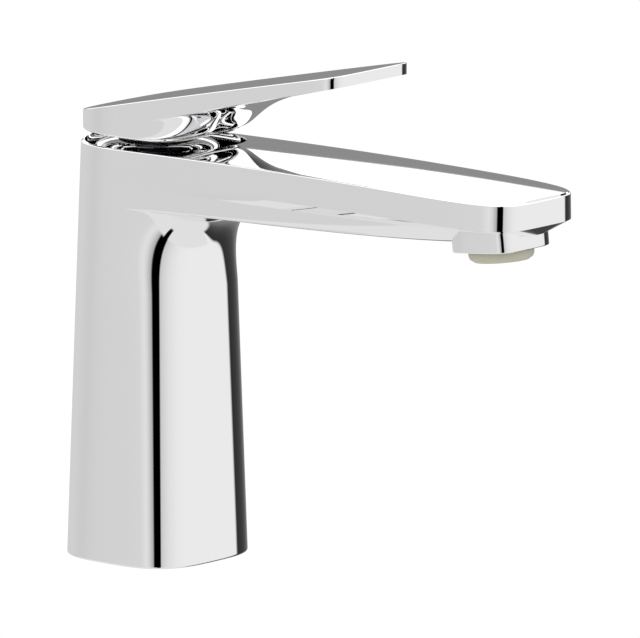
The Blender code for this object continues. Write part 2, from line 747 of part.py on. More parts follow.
def make_turret(parent):
    """Swivelling stem guide with its slot for the stem."""
    levels = stack_levels()
    bottom = levels["carrier_top"] + 2 * CLEARANCE
    turret = to_object("cartridge_turret", turned(rod_profile(TURRET_RADIUS, bottom, TURRET_TOP)),
                       parent, parent_place(parent))
    room = RUNNING_CLEARANCE
    swing = (TURRET_TOP - PIN_HEIGHT) * math.tan(LIFT_RANGE)
    drop = (PIN_HEIGHT - bottom) * math.tan(LIFT_RANGE)
    upper = block((-PIN_OFFSET - STEM_HALF - swing - 2 * room, -STEM_HALF - room, PIN_HEIGHT),
                  (-PIN_OFFSET + STEM_HALF + 2 * room, STEM_HALF + room, TURRET_TOP + CUT_MARGIN))
    lower = block((-PIN_OFFSET - STEM_HALF - 2 * room, -STEM_HALF - room, bottom - CUT_MARGIN),
                  (-PIN_OFFSET + STEM_HALF + drop + 2 * room, STEM_HALF + room,
                   PIN_HEIGHT + CLEARANCE))
    cut(turret, upper, "upper_slot")
    cut(turret, lower, "lower_slot")
    cut(turret, pin_rod(PIN_RADIUS + CLEARANCE, TURRET_RADIUS + CUT_MARGIN), "pin_hole")
    return finish(turret, "turret_plastic")


def pin_rod(radius, half_length):
    """Round bar along Y through the pivot."""
    rod = turned(rod_profile(radius, -half_length, half_length), SMALL_STEPS)
    return turned_about(rod, (-PIN_OFFSET, 0.0, PIN_HEIGHT), (0.0, 1.0, 0.0))


def make_pin(parent):
    """Steel pin that the stem tips about."""
    half_length = math.sqrt(TURRET_RADIUS ** 2 - PIN_OFFSET ** 2) - 2 * PIN_RADIUS * 0.3
    pin = to_object("stem_pivot_pin", pin_rod(PIN_RADIUS, half_length), parent,
                    parent_place(parent))
    return finish(pin, "steel")


def stem_top():
    """Height of the stem's top, under the lever's roof."""
    return lever_top(-PIN_OFFSET - STEM_HALF) - LEVER_ROOF


def make_stem(parent):
    """Square stem: ball below the pivot, square end up inside the lever's hub."""
    centre = ball_height()
    waist = STEM_BALL_RADIUS * 0.7
    waist_top = PIN_HEIGHT - STEM_HALF * 0.8
    lower_part = [(0.0, centre - STEM_BALL_RADIUS)]
    for step in range(1, 6):
        angle = math.pi * step / 7
        lower_part.append((STEM_BALL_RADIUS * math.sin(angle),
                           centre - STEM_BALL_RADIUS * math.cos(angle)))
    lower_part += [(waist, centre + STEM_BALL_RADIUS), (waist, waist_top), (0.0, waist_top)]
    stem = to_object("cartridge_stem",
                     block((-PIN_OFFSET - STEM_HALF, -STEM_HALF, PIN_HEIGHT - STEM_HALF),
                           (-PIN_OFFSET + STEM_HALF, STEM_HALF, stem_top())),
                     parent, parent_place(parent))
    cut(stem, turned(lower_part, SMALL_STEPS, (-PIN_OFFSET, 0.0)), "ball", "UNION")
    cut(stem, pin_rod(PIN_RADIUS + CLEARANCE, STEM_HALF + CUT_MARGIN), "pin_hole")
    return finish(stem, "brass")


def make_limit_ring():
    """Ring clipped on the neck that stops the hot side of the swivel."""
    neck_inner = TURRET_RADIUS + RUNNING_CLEARANCE
    bottom = NECK_TOP + CLEARANCE
    profile = tube_profile(neck_inner, neck_inner + NECK_WALL, bottom,
                           bottom + LIMIT_RING_THICKNESS)
    return finish(to_object("temperature_limit_ring", turned(profile)), "limit_plastic")


def make_nut():
    """Brass nut that holds the cartridge down, with a hexagon on top."""
    bottom = SHOULDER_HEIGHT + CLEARANCE
    neck_outer = TURRET_RADIUS + RUNNING_CLEARANCE + NECK_WALL
    seal_room = neck_outer + O_RING_THICKNESS + 2 * CLEARANCE
    seal_top = bottom + O_RING_THICKNESS + CLEARANCE
    inner = neck_outer + CLEARANCE
    thread_top = bottom + NUT_THREAD_LENGTH
    top = thread_top + NUT_HEAD_HEIGHT
    rim = NUT_THREAD_RADIUS
    head = rim - NUT_HEAD_STEP
    profile = [(seal_room, bottom), (rim, bottom), (rim, thread_top), (head, thread_top),
               (head, top), (inner, top), (inner, seal_top), (seal_room, seal_top)]
    nut = to_object("cartridge_nut", turned(profile))
    for number in range(6):
        angle = math.pi / 3 * number
        flat = block((rim - NUT_FLAT_DEPTH, -rim, thread_top),
                     (rim + CUT_MARGIN, rim, top + CUT_MARGIN))
        flat.transform(Matrix.Rotation(angle, 4, "Z"))
        cut(nut, flat, "flat_" + str(number))
    return finish(nut, "brass")


def dome_outer_radius():
    """Outer radius of the dome cap, clear of the recess wall."""
    return RIM_HALF_X - RECESS_WALL - 2 * CLEARANCE


def make_dome_cap():
    """Chromed cap over the nut, seen in the gap under the lever."""
    outer = dome_outer_radius()
    bottom = RECESS_FLOOR + CLEARANCE
    shoulder = bottom + DOME_SKIRT
    inside = NUT_THREAD_RADIUS + CLEARANCE
    steps = 5
    profile = [(inside, bottom), (outer, bottom), (outer, shoulder)]
    for step in range(1, steps + 1):
        angle = math.pi / 2 * step / steps
        profile.append((blend(outer, DOME_HOLE, 1.0 - math.cos(angle)),
                        blend(shoulder, DOME_TOP, math.sin(angle))))
    profile += [(DOME_HOLE, DOME_TOP - DOME_WALL), (inside - DOME_WALL, shoulder + DOME_WALL),
                (inside, shoulder)]
    return finish(to_object("dome_cap", turned(profile)), "chrome")


# ======================================================================= lever
def lever_top(x):
    """Height of the lever's top at x, a slope with a low arch."""
    return LEVER_HEIGHT + LEVER_SLOPE * x - LEVER_ARCH * x * x


def lever_under(x):
    """Height of the lower edge of the lever's side band at x."""
    if x < 0.0:
        rear = lever_top(-LEVER_REAR) - LEVER_REAR_BAND
        return blend(lever_under(0.0), rear, -x / LEVER_REAR)
    return lever_top(x) - blend(LEVER_THICKNESS_REAR, LEVER_THICKNESS_TIP, x / LEVER_REACH)


def narrowed(outline):
    """Outline of the lever or hub, narrowing steadily ahead of the axis."""
    return [(x, y * (1.0 - LEVER_NARROWING * max(x, 0.0))) for x, y in outline]


def lever_ring(height_of, inset=0.0):
    """Ring round the lever's whole plan."""
    outline = plan_outline(LEVER_REAR - inset, LEVER_HALF_WIDTH - inset, LEVER_REAR_POWER,
                           LEVER_REACH - LEVER_TIP_LENGTH, LEVER_REACH - inset,
                           LEVER_TIP_POWER, LEVER_SIDE_POWER)
    return [(x, y, height_of(x)) for x, y in narrowed(outline)]


def hub_ring(height, inset=0.0, reach=HUB_FRONT, slopes=(0.0, 0.0)):
    """Ring of the hub, drawn out forwards to reach, sloping behind and ahead of the axis."""
    outline = plan_outline(LEVER_REAR - inset, LEVER_HALF_WIDTH - inset, LEVER_REAR_POWER,
                           0.0, reach - inset, HUB_POWER, HUB_POWER)
    behind, ahead = slopes
    return [(x, y, height + (behind if x < 0.0 else ahead) * x) for x, y in narrowed(outline)]


def keel(reach):
    """Share of the hub's depth that is left below the blade at a reach."""
    return 1.0 / (1.0 + ((reach - HUB_FRONT) / KEEL_LENGTH) ** KEEL_POWER)


def lever_outer():
    """Outer skin of the lever: hub, fillet and flat blade."""
    rings = []
    corner_height = HUB_ROUNDING * 0.75
    for share in (0.0, 0.3, 0.65, 1.0):
        inset = HUB_ROUNDING * (1.0 - math.sqrt(1.0 - (1.0 - share) ** 2))
        rings.append(hub_ring(HUB_BOTTOM + corner_height * share, inset=inset))
    first = HUB_BOTTOM + corner_height
    last = lever_under(0.0) - CLEARANCE
    depth = lever_under(HUB_FRONT) - first
    rear_slope = (lever_under(0.0) - lever_under(-LEVER_REAR)) / LEVER_REAR * 0.8
    furthest = LEVER_REACH * KEEL_END
    for step in range(1, HUB_STEPS + 1):
        reach = blend(HUB_FRONT, furthest, (step / HUB_STEPS) ** 1.6)
        left = keel(reach)
        height = blend(last, first, left)
        ahead = (lever_under(reach) - depth * left - height) / reach
        rings.append(hub_ring(height, reach=reach, slopes=(rear_slope * (1.0 - left), ahead)))
    rings.append(lever_ring(lever_under))
    rings.append(lever_ring(lambda x: lever_top(x) - EDGE_BEVEL))
    rings.append(lever_ring(lever_top, inset=EDGE_BEVEL))
    return loft(rings)


def rear_rod(radius, start, length):
    """Round bar along X at the grub screw's height, from start forwards."""
    rod = turned(rod_profile(radius, 0.0, length), SMALL_STEPS)
    return turned_about(rod, (start, 0.0, screw_height()), (1.0, 0.0, 0.0))


def screw_height():
    """Height of the grub screw's axis."""
    return HUB_BOTTOM + SCREW_LEVEL


def stem_rear():
    """X of the stem's rear face."""
    return -PIN_OFFSET - STEM_HALF


def make_lever(parent):
    """Lever handle: flat blade with a deep hub that sits on the stem."""
    lever = to_object("lever", lever_outer(), parent, parent_place(parent))
    half = STEM_HALF + CLEARANCE
    socket = block((-PIN_OFFSET - half, -half, HUB_BOTTOM - CUT_MARGIN),
                   (-PIN_OFFSET + half, half, stem_top() + CLEARANCE))
    hollow = turned(rod_profile(HUB_HOLLOW_RADIUS, HUB_BOTTOM - CUT_MARGIN,
                                HUB_BOTTOM + HUB_HOLLOW_HEIGHT))
    cut(lever, hollow, "hub_hollow")
    cut(lever, socket, "stem_socket")
    outside = -LEVER_REAR - CUT_MARGIN
    recess_end = CUT_MARGIN + PLUG_LENGTH
    hole_end = stem_rear() + STEM_HALF - outside
    stepped = turned([(0.0, 0.0), (PLUG_RADIUS + CLEARANCE, 0.0),
                      (PLUG_RADIUS + CLEARANCE, recess_end),
                      (SCREW_RADIUS + CLEARANCE, recess_end),
                      (SCREW_RADIUS + CLEARANCE, hole_end), (0.0, hole_end)], SMALL_STEPS)
    cut(lever, turned_about(stepped, (outside, 0.0, screw_height()), (1.0, 0.0, 0.0)), "screw_hole")
    return finish(lever, "chrome")


def make_lever_screw(parent):
    """Grub screw that clamps the lever on the stem."""
    start = stem_rear() - CLEARANCE - SCREW_LENGTH
    screw = to_object("lever_set_screw", rear_rod(SCREW_RADIUS, start, SCREW_LENGTH), parent,
                      parent_place(parent))
    key = rear_rod(SCREW_RADIUS * 0.5, start - CUT_MARGIN, CUT_MARGIN + SCREW_LENGTH * 0.4)
    cut(screw, key, "key_socket")
    return finish(screw, "steel")


def make_index_plug(parent):
    """Plain plug that hides the grub screw."""
    start = -LEVER_REAR + CLEARANCE
    plug = to_object("index_plug", rear_rod(PLUG_RADIUS, start, PLUG_LENGTH - 2 * CLEARANCE),
                     parent, parent_place(parent))
    return finish(plug, "chrome")


# ===================================================================== aerator
def at_outlet(name, profile, slot, steps=ROUND_STEPS):
    """Turned piece on the tilted outlet axis, heights measured up from the collar's lip."""
    mesh_bm = turned(profile, steps)
    mesh_bm.transform(outlet_frame())
    return finish(to_object(name, mesh_bm), slot)


def make_aerator():
    """Threaded shell with its insert: face, jet plate, screen and washer."""
    shell_outer = AERATOR_THREAD_RADIUS - CLEARANCE
    shell_inner = shell_outer - AERATOR_SHELL_WALL
    top = AERATOR_SHELL_LENGTH
    lip = AERATOR_LIP
    at_outlet("aerator_shell", tube_profile(shell_inner, shell_outer, lip, top), "brass")

    inside = shell_inner - CLEARANCE
    face_top = FACE_TOP
    low = -AERATOR_STICK_OUT
    mouth = AERATOR_FACE_RADIUS - MOUTH_WALL
    floor = face_top - FACE_THICKNESS
    face = [(0.0, floor), (mouth, floor), (mouth, low + FACE_ROUNDING / 3),
            (mouth + FACE_ROUNDING / 2, low), (AERATOR_FACE_RADIUS - FACE_ROUNDING, low),
            (AERATOR_FACE_RADIUS, low + FACE_ROUNDING), (AERATOR_FACE_RADIUS, lip - 2 * CLEARANCE),
            (inside, lip - CLEARANCE), (inside, face_top), (0.0, face_top)]
    at_outlet("aerator_face", face, "outlet_plastic")

    jet_bottom = face_top + CLEARANCE
    jet_top = jet_bottom + JET_PLATE_THICKNESS
    at_outlet("jet_plate", rod_profile(inside, jet_bottom, jet_top), "outlet_plastic")
    regulator_bottom = jet_top + CLEARANCE
    regulator_top = regulator_bottom + REGULATOR_THICKNESS
    at_outlet("flow_regulator", tube_profile(inside * 0.4, inside * 0.8, regulator_bottom,
                                             regulator_top), "rubber", SMALL_STEPS)
    screen_bottom = regulator_top + CLEARANCE
    screen = rod_profile(inside, screen_bottom, screen_bottom + SCREEN_THICKNESS)
    at_outlet("inlet_screen", screen, "steel")
    washer_bottom = top + CLEARANCE
    washer = tube_profile(shell_outer - SEAL_THICKNESS * 0.9, shell_outer, washer_bottom,
                          washer_bottom + SEAL_THICKNESS - CLEARANCE)
    at_outlet("aerator_washer", washer, "rubber")


# ================================================================== assembling
def empty(name, place, parent=None):
    """Empty that marks a joint's axis."""
    item = bpy.data.objects.new(name, None)
    bpy.context.scene.collection.objects.link(item)
    item.location = place
    if parent is not None:
        item.parent = parent
        item.location = Vector(place) - parent_place(parent)
    return item


def clear_scene():
    """Remove whatever the file holds."""
    for item in list(bpy.data.objects):
        bpy.data.objects.remove(item, do_unlink=True)


def main():
    """Build the whole tap."""
    clear_scene()
    make_body()
    make_base_gasket()
    make_cartridge_base()
    make_port_seals()
    make_fixed_disc()
    make_cartridge_housing()
    make_housing_seal()
    make_limit_ring()
    make_nut()
    make_dome_cap()
    make_aerator()

    swivel = empty("swivel_axis", (0.0, 0.0, PIN_HEIGHT))
    make_turret(swivel)
    make_pin(swivel)
    slide = empty("disc_slide_axis", (0.0, 0.0, stack_levels()["moving_bottom"]), swivel)
    make_disc_carrier(slide)
    make_moving_disc(slide)
    lift = empty("lift_axis", (-PIN_OFFSET, 0.0, PIN_HEIGHT), swivel)
    make_stem(lift)
    make_lever(lift)
    make_lever_screw(lift)
    make_index_plug(lift)
    bpy.context.view_layer.update()


main()
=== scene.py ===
"""Look of a single-lever basin mixer tap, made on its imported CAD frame.

Laid out as an add-on and run as a script.  Metres, +Z up, spout along +X.
"""

import math

import bmesh
import bpy
from mathutils import Matrix, Vector


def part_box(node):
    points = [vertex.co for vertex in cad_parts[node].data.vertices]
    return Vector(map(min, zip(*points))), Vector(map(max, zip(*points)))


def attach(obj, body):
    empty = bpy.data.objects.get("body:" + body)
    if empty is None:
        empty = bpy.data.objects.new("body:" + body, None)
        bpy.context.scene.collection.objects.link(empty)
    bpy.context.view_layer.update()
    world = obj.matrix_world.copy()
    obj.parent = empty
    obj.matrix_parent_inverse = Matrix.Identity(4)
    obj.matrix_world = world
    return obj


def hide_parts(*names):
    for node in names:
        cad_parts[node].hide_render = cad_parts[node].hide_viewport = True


bl_info = {
    "name": "Basin Mixer Tap",
    "version": (1, 0, 0),
    "blender": (4, 5, 0),
    "location": "View3D > Sidebar > Mixer Tap",
    "description": "Builds the visible pieces and finishes of a basin mixer tap",
    "category": "Add Mesh",
}

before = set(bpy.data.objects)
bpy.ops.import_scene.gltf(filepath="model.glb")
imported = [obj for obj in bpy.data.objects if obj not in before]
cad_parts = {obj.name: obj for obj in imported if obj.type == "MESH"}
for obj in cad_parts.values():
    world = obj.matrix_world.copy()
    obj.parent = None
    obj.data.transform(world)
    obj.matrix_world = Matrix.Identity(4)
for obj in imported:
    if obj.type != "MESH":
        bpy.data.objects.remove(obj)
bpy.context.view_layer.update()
BODY_LOW, BODY_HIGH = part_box("body_casting")
LEVER_LOW, LEVER_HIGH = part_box("lever")
PLUG_LOW, PLUG_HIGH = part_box("index_plug")
DOME_LOW, DOME_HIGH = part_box("dome_cap")

SIDE_STEPS = 40
FRONT_STEPS = 72
FINE_STEPS = 600
ROUND_STEPS = 160
SMALL_STEPS = 48
EDGE_STEPS = 4
SMOOTH_LIMIT = math.radians(28.0)
WELD = 2e-6
CUT_MARGIN = 0.004
CLEARANCE = 0.0003
RUNNING_CLEARANCE = 0.0004

# Hidden sizes of the casting: foot hollow, hose and stud sockets, cartridge seat.
HOLLOW_WALL = 0.0050
HOLLOW_TOP = 0.0580
HOSE_RADIUS = 0.0046
HOSE_DEPTH = 0.0120
PORT_RADIUS = 0.0029
PORT_X = -0.0045
PORT_Y = 0.0078
STUD_RADIUS = 0.0034
STUD_DEPTH = 0.0140
STUD_X = 0.0100
SEAT = 0.0840
GASKET_WIDTH = 0.0021
HULL_END = 0.985
COLLAR_SPREAD = 0.5
COLLAR_BEND = 0.95

# Lever: hollow round the turret, screw hole, plug, and the end of the keel.
HUB_HOLLOW_RADIUS = 0.0125
HUB_HOLLOW_HEIGHT = 0.0022
SCREW_REACH = 0.002
PLUG_ROUNDING = 0.0003
KEEL_END = 0.93
KEEL_SPACING = 1.6
REAR_SLOPE_SHARE = 0.8

# Dome cap and aerator face.
DOME_HOLE = 0.0118
DOME_WALL = 0.0012
DOME_SKIRT = 0.0026
DOME_ROUNDING = 0.0002
SHELL_WALL = 0.0008
MOUTH_WALL = 0.0022
FACE_LIP = 0.0010
FACE_TOP = 0.0026
FACE_FLOOR = 0.0014
FACE_ROUNDING = 0.0005
NOZZLE_SINK = 0.00005


# ================================================================= settings
def length(name, text, default):
    """Length property in metres."""
    return bpy.props.FloatProperty(name=name, description=text, default=default,
                                   min=0.0, unit="LENGTH", subtype="DISTANCE", precision=5)


def number(name, text, default):
    """Plain number property."""
    return bpy.props.FloatProperty(name=name, description=text, default=default, precision=4)


def angle(name, text, default):
    """Angle property, its default given in degrees."""
    return bpy.props.FloatProperty(name=name, description=text, unit="ROTATION",
                                   subtype="ANGLE", default=math.radians(default))


def colour(name, text, default):
    """Colour property."""
    return bpy.props.FloatVectorProperty(name=name, description=text, default=default,
                                         size=3, min=0.0, max=1.0, subtype="COLOR")


class TAP_PG_body(bpy.types.PropertyGroup):
    """Sizes of the column and the spout."""
    base_half_x: length("Base half depth", "Half depth of the foot", -BODY_LOW.x)
    base_half_y: length("Base half width", "Half width of the foot", BODY_HIGH.y)
    base_power: number("Base squareness", "Superellipse power of the foot", 3.2)
    rim_half_x: length("Rim half depth", "Half depth of the column's rim", 0.0212)
    rim_half_y: length("Rim half width", "Half width of the column's rim", 0.0221)
    rim_power: number("Rim squareness", "Superellipse power of the rim", 2.6)
    rim_height: length("Rim height", "Height of the rim above the worktop", 0.1300)
    foot_bevel: length("Foot rounding", "Rounding of the foot's edge", 0.0008)
    edge_bevel: length("Edge rounding", "Rounding of the top's edge", 0.0004)
    reach: length("Spout reach", "Axis to the spout's tip", BODY_HIGH.x)
    taper_start: length("Tip start", "Where the spout's tip starts to round", 0.1154)
    tip_power: number("Tip squareness", "Superellipse power along the spout", 2.7)
    side_power: number("Side squareness", "Superellipse power across the spout", 5.0)
    band_rear: length("Band depth at rear", "Depth of the flat side band", 0.0100)
    band_tip: length("Band depth at tip", "Depth of the flat side band", 0.0080)
    top_rise: length("Top arch", "Rise of the top's long arch", 0.0010)
    crown: length("Top crown", "Rise of the top's middle over its edges", 0.0007)
    hull_depth: length("Hull depth", "Depth of the spout's underside", 0.0180)
    hull_rise: length("Hull rise", "Rise of the underside towards the tip", 0.0022)
    fillet_height: length("Fillet height", "Height of the fillet under the spout", 0.0260)
    fillet_reach: length("Fillet reach", "Reach of the fillet under the spout", 0.0200)
    hull_power: number("Hull squareness", "Superellipse power of the underside", 2.2)
    recess_floor: length("Recess floor", "Height of the floor under the hub", 0.1245)
    recess_wall: length("Recess wall", "Wall round the recess", 0.0010)
    recess_front: length("Recess front", "Axis to the recess's front wall", 0.0270)
    recess_lip: length("Recess lip", "Rounding of the recess's front lip", 0.0035)


class TAP_PG_lever(bpy.types.PropertyGroup):
    """Sizes of the lever and its plug."""
    height: length("Top height", "Height of the top over the axis", 0.1434)
    slope: number("Slope", "Rise of the top for each metre forwards", 0.2209)
    arch: number("Arch", "Fall of the top for each square metre forwards", 0.080)
    narrowing: number("Narrowing", "Share of the width lost for each metre forwards", 0.79)
    reach: length("Reach", "Axis to the lever's tip", LEVER_HIGH.x)
    rear: length("Rear", "Axis to the lever's rear", -LEVER_LOW.x)
    half_width: length("Half width", "Half width of the lever", LEVER_HIGH.y)
    tip_length: length("Tip length", "Length of the rounded tip", 0.0184)
    tip_power: number("Tip squareness", "Superellipse power along the lever", 3.2)
    side_power: number("Side squareness", "Superellipse power across the lever", 7.0)
    rear_power: number("Rear squareness", "Superellipse power of the rear", 2.5)
    thickness_rear: length("Thickness at axis", "Depth of the side band", 0.0066)
    thickness_tip: length("Thickness at tip", "Depth of the side band", 0.0036)
    rear_band: length("Rear band", "Depth of the band at the rear", 0.0024)
    hub_bottom: length("Hub bottom", "Height of the hub's lower face", LEVER_LOW.z)
    hub_front: length("Hub front", "Axis to the hub's front", 0.0225)
    hub_rounding: length("Hub rounding", "Rounding under the hub", 0.0014)
    hub_power: number("Hub squareness", "Superellipse power of the hub's front", 4.0)
    keel_length: length("Keel length", "How far the hub's depth runs out forwards", 0.0110)
    keel_power: number("Keel power", "How suddenly the hub's depth runs out", 2.5)
    edge_bevel: length("Edge rounding", "Rounding of the top's edge", 0.0004)


class TAP_PG_outlet(bpy.types.PropertyGroup):
    """Sizes of the collar and the aerator's face."""
    x: length("Place", "Axis of the tap to the middle of the outlet", 0.1393)
    z: length("Height", "Height of the collar's lip", 0.1130)
    tilt: angle("Tilt", "Lean of the outlet, front edge up", 6.0)
    collar_half: length("Collar half width", "Half width of the squared collar", 0.0124)
    collar_power: number("Collar squareness", "Superellipse power of the collar", 4.0)
    collar_straight: length("Collar height", "Straight height of the collar", 0.0040)
    collar_flare: length("Collar flare", "Flare from the collar into the spout", 0.0050)
    thread_radius: length("Thread radius", "Radius of the aerator's bore", 0.01075)
    bore_depth: length("Bore depth", "Depth of the aerator's bore", 0.0085)
    face_radius: length("Face radius", "Radius of the aerator's face", 0.0101)
    stick_out: length("Stick out", "Face below the collar's lip", 0.0036)
    nozzle_rings: bpy.props.IntProperty(name="Nozzle rings", default=4, min=1, max=8,
                                        description="Rings of nozzles round the middle one")
    nozzle_gap: length("Nozzle spacing", "Distance from nozzle to nozzle", 0.0016)
    nozzle_radius: length("Nozzle radius", "Outer radius of one nozzle", 0.00045)
    nozzle_height: length("Nozzle height", "Height of one nozzle", 0.0007)


class TAP_PG_finish(bpy.types.PropertyGroup):
    """Colours of the finishes."""
    chrome: colour("Chrome", "Polished chromium plate", (0.93, 0.93, 0.935))
    brass: colour("Brass", "Turned brass", (0.72, 0.53, 0.25))
    steel: colour("Steel", "Stainless steel", (0.60, 0.60, 0.61))
    housing: colour("Housing", "Cartridge housing plastic", (0.78, 0.78, 0.75))
    turret: colour("Turret", "Turning cartridge plastic", (0.10, 0.20, 0.42))
    limit: colour("Limit ring", "Temperature limit ring plastic", (0.60, 0.07, 0.05))
    outlet: colour("Outlet", "Aerator plastic", (0.47, 0.455, 0.355))
    ceramic: colour("Ceramic", "Sintered ceramic", (0.86, 0.84, 0.79))
    rubber: colour("Rubber", "Seal rubber", (0.025, 0.025, 0.026))
    roughness: number("Chrome roughness", "Roughness of the plated faces", 0.03)


class TAP_PG_studio(bpy.types.PropertyGroup):
    """Camera and light."""
    azimuth: angle("Azimuth", "Camera's turn about the tap", 40.83)
    elevation: angle("Elevation", "Camera's height above the level", 11.02)
    distance: length("Distance", "Camera to the tap's middle", 5.563)
    lens: number("Lens", "Focal length in millimetres", 1016.0)
    target: bpy.props.FloatVectorProperty(name="Target", size=3, subtype="XYZ", unit="LENGTH",
                                          description="Point in the middle of the view",
                                          default=(0.0537, 0.0149, 0.0780))
    card_width: angle("Card width", "Half width of the black card", 6.5)
    ceiling: number("Ceiling", "Brightness of the light overhead", 1.35)
    floor: number("Floor", "Brightness of the reflected floor", 0.80)
    dome: length("Backdrop radius", "Radius of the white backdrop", 14.0)


SETTINGS = {"tap_body": TAP_PG_body, "tap_lever": TAP_PG_lever, "tap_outlet": TAP_PG_outlet,
            "tap_finish": TAP_PG_finish, "tap_studio": TAP_PG_studio}


# ============================================================= shader writing
def grey(level):
    """Grey as a colour with alpha."""
    return (level, level, level, 1.0)


class Sock:
    """Output socket that does arithmetic: each operation adds its Math node."""

    def __init__(self, graph, socket):
        self.graph = graph
        self.socket = socket

    def math(self, operation, *values):
        """Math node on this socket and more values."""
        node = self.graph.node("ShaderNodeMath", {"operation": operation},
                               dict(enumerate((self,) + values)))
        return self.graph.out(node)

    def __add__(self, other):
        return self.math("ADD", other)

    __radd__ = __add__

    def __mul__(self, other):
        return self.math("MULTIPLY", other)

    __rmul__ = __mul__

    def __sub__(self, other):
        return self.math("SUBTRACT", other)

    def __rsub__(self, other):
        return self.math("MULTIPLY", -1.0).math("ADD", other)

    def __truediv__(self, other):
        return self.math("DIVIDE", other)

    def __neg__(self):
        return self.math("MULTIPLY", -1.0)

    def step(self, low, high):
        """0 below low, 1 above high, smooth between."""
        node = self.graph.node("ShaderNodeMapRange", {"interpolation_type": "SMOOTHSTEP"},
                               {"Value": self, "From Min": low, "From Max": high})
        return self.graph.out(node)

    def ramp(self, stops):
        """Ramp of greys on this socket, its stops as (place, level)."""
        return self.graph.out(self.graph.node("ShaderNodeValToRGB", {"stops": stops},
                                              {"Fac": self}))


class Graph:
    """Node tree of one material or world."""

    def __init__(self, owner):
        owner.use_nodes = True
        self.tree = owner.node_tree
        self.tree.nodes.clear()

    def node(self, kind, settings=None, values=None):
        """Node of a kind: its settings first, then its sockets' values or links."""
        made = self.tree.nodes.new(kind)
        for name, value in (settings or {}).items():
            if name == "stops":
                self.set_stops(made.color_ramp, value)
            else:
                setattr(made, name, value)
        for name, value in (values or {}).items():
            if isinstance(value, Sock):
                self.tree.links.new(value.socket, made.inputs[name])
            else:
                made.inputs[name].default_value = value
        return made

    def out(self, node, name=0):
        """Output socket of a node."""
        return Sock(self, node.outputs[name])

    @staticmethod
    def set_stops(ramp, stops):
        """Give a ramp its grey stops."""
        while len(ramp.elements) < len(stops):
            ramp.elements.new(1.0)
        for element, (place, level) in zip(ramp.elements, stops):
            element.position = place
            element.color = grey(level)

    def blend(self, factor, first, second):
        """Mix of two colours."""
        node = self.node("ShaderNodeMix", {"data_type": "RGBA"},
                         {"Factor": factor, 6: first, 7: second})
        return self.out(node, 2)

    def noise(self, place, scale, detail=3.0):
        """Noise between 0 and 1."""
        node = self.node("ShaderNodeTexNoise", None,
                         {"Vector": place, "Scale": scale, "Detail": detail})
        return self.out(node, "Fac")

    def place(self):
        """Object coordinates."""
        return self.out(self.node("ShaderNodeTexCoord"), "Object")

    def bump(self, height, distance, strength=0.4):
        """Normal bent by a height in the given distance."""
        node = self.node("ShaderNodeBump", None, {"Height": height, "Distance": distance,
                                                  "Strength": strength})
        return self.out(node)

    def surface(self, values):
        """Principled shader joined to the output."""
        shader = self.out(self.node("ShaderNodeBsdfPrincipled", None, values))
        self.node("ShaderNodeOutputMaterial", None, {"Surface": shader})


# ================================================================== finishes
def shade_pair(base, darker):
    """A colour and the same colour made darker, for a blend."""
    return (*base, 1.0), (*(part * darker for part in base), 1.0)


def chrome_finish(graph, base):
    """Polished plate: faint cloudiness in its gloss and the softest waviness."""
    place = graph.place()
    cloud = graph.noise(place, 45.0, 4.0)
    light, dark = shade_pair(base, 0.985)
    rough = bpy.context.scene.tap_finish.roughness
    graph.surface({"Base Color": graph.blend(cloud, light, dark), "Metallic": 1.0,
                   "Roughness": rough * 0.7 + cloud * (rough * 0.6),
                   "Normal": graph.bump(graph.noise(place, 60.0, 1.0), 0.000004, 0.3)})


def turned_metal_finish(graph, base, rough):
    """Turned metal: fine rings from the tool, and a little staining."""
    place = graph.place()
    stain = graph.noise(place, 120.0, 4.0)
    rings = graph.out(graph.node("ShaderNodeTexWave",
                                 {"wave_type": "RINGS", "rings_direction": "Z"},
                                 {"Vector": place, "Scale": 900.0, "Distortion": 0.4}), "Fac")
    light, dark = shade_pair(base, 0.82)
    graph.surface({"Base Color": graph.blend(stain, light, dark), "Metallic": 1.0,
                   "Roughness": rough + stain * 0.12,
                   "Normal": graph.bump(rings, 0.00002, 0.3)})


def grained_finish(graph, base, rough, darker, patches, grain, gloss, relief):
    """Dull surface whose colour drifts in patches, over a fine grain.

    patches and grain are the scale and detail of a noise, gloss is how much the patches and
    the grain each roughen it, and relief is the bump's distance and strength.
    """
    place = graph.place()
    patch = graph.noise(place, *patches)
    speck = graph.noise(place, *grain)
    light, dark = shade_pair(base, darker)
    source, amount = (patch, gloss[0]) if gloss[0] else (speck, gloss[1])
    graph.surface({"Base Color": graph.blend(patch, light, dark),
                   "Roughness": rough + source * amount,
                   "Normal": graph.bump(speck, *relief)})


# What grained_finish takes after the roughness: fine spark texture, lapped grain, dusty rubber.
MOULDED = (0.90, (70.0, 3.0), (2600.0, 2.0), (0.0, 0.14), (0.00003, 0.35))
CERAMIC = (0.93, (1800.0, 4.0), (1800.0, 4.0), (0.0, 0.10), (0.00001, 0.2))
RUBBER = (0.6, (220.0, 5.0), (3200.0, 2.0), (0.15, 0.0), (0.00004, 0.4))

FINISHES = {
    "chrome": (chrome_finish, "chrome", ()),
    "brass": (turned_metal_finish, "brass", (0.26,)),
    "steel": (turned_metal_finish, "steel", (0.22,)),
    "housing": (grained_finish, "housing", (0.40,) + MOULDED),
    "turret": (grained_finish, "turret", (0.38,) + MOULDED),
    "limit": (grained_finish, "limit", (0.38,) + MOULDED),
    "outlet": (grained_finish, "outlet", (0.42,) + MOULDED),
    "ceramic": (grained_finish, "ceramic", (0.18,) + CERAMIC),
    "rubber": (grained_finish, "rubber", (0.62,) + RUBBER),
}

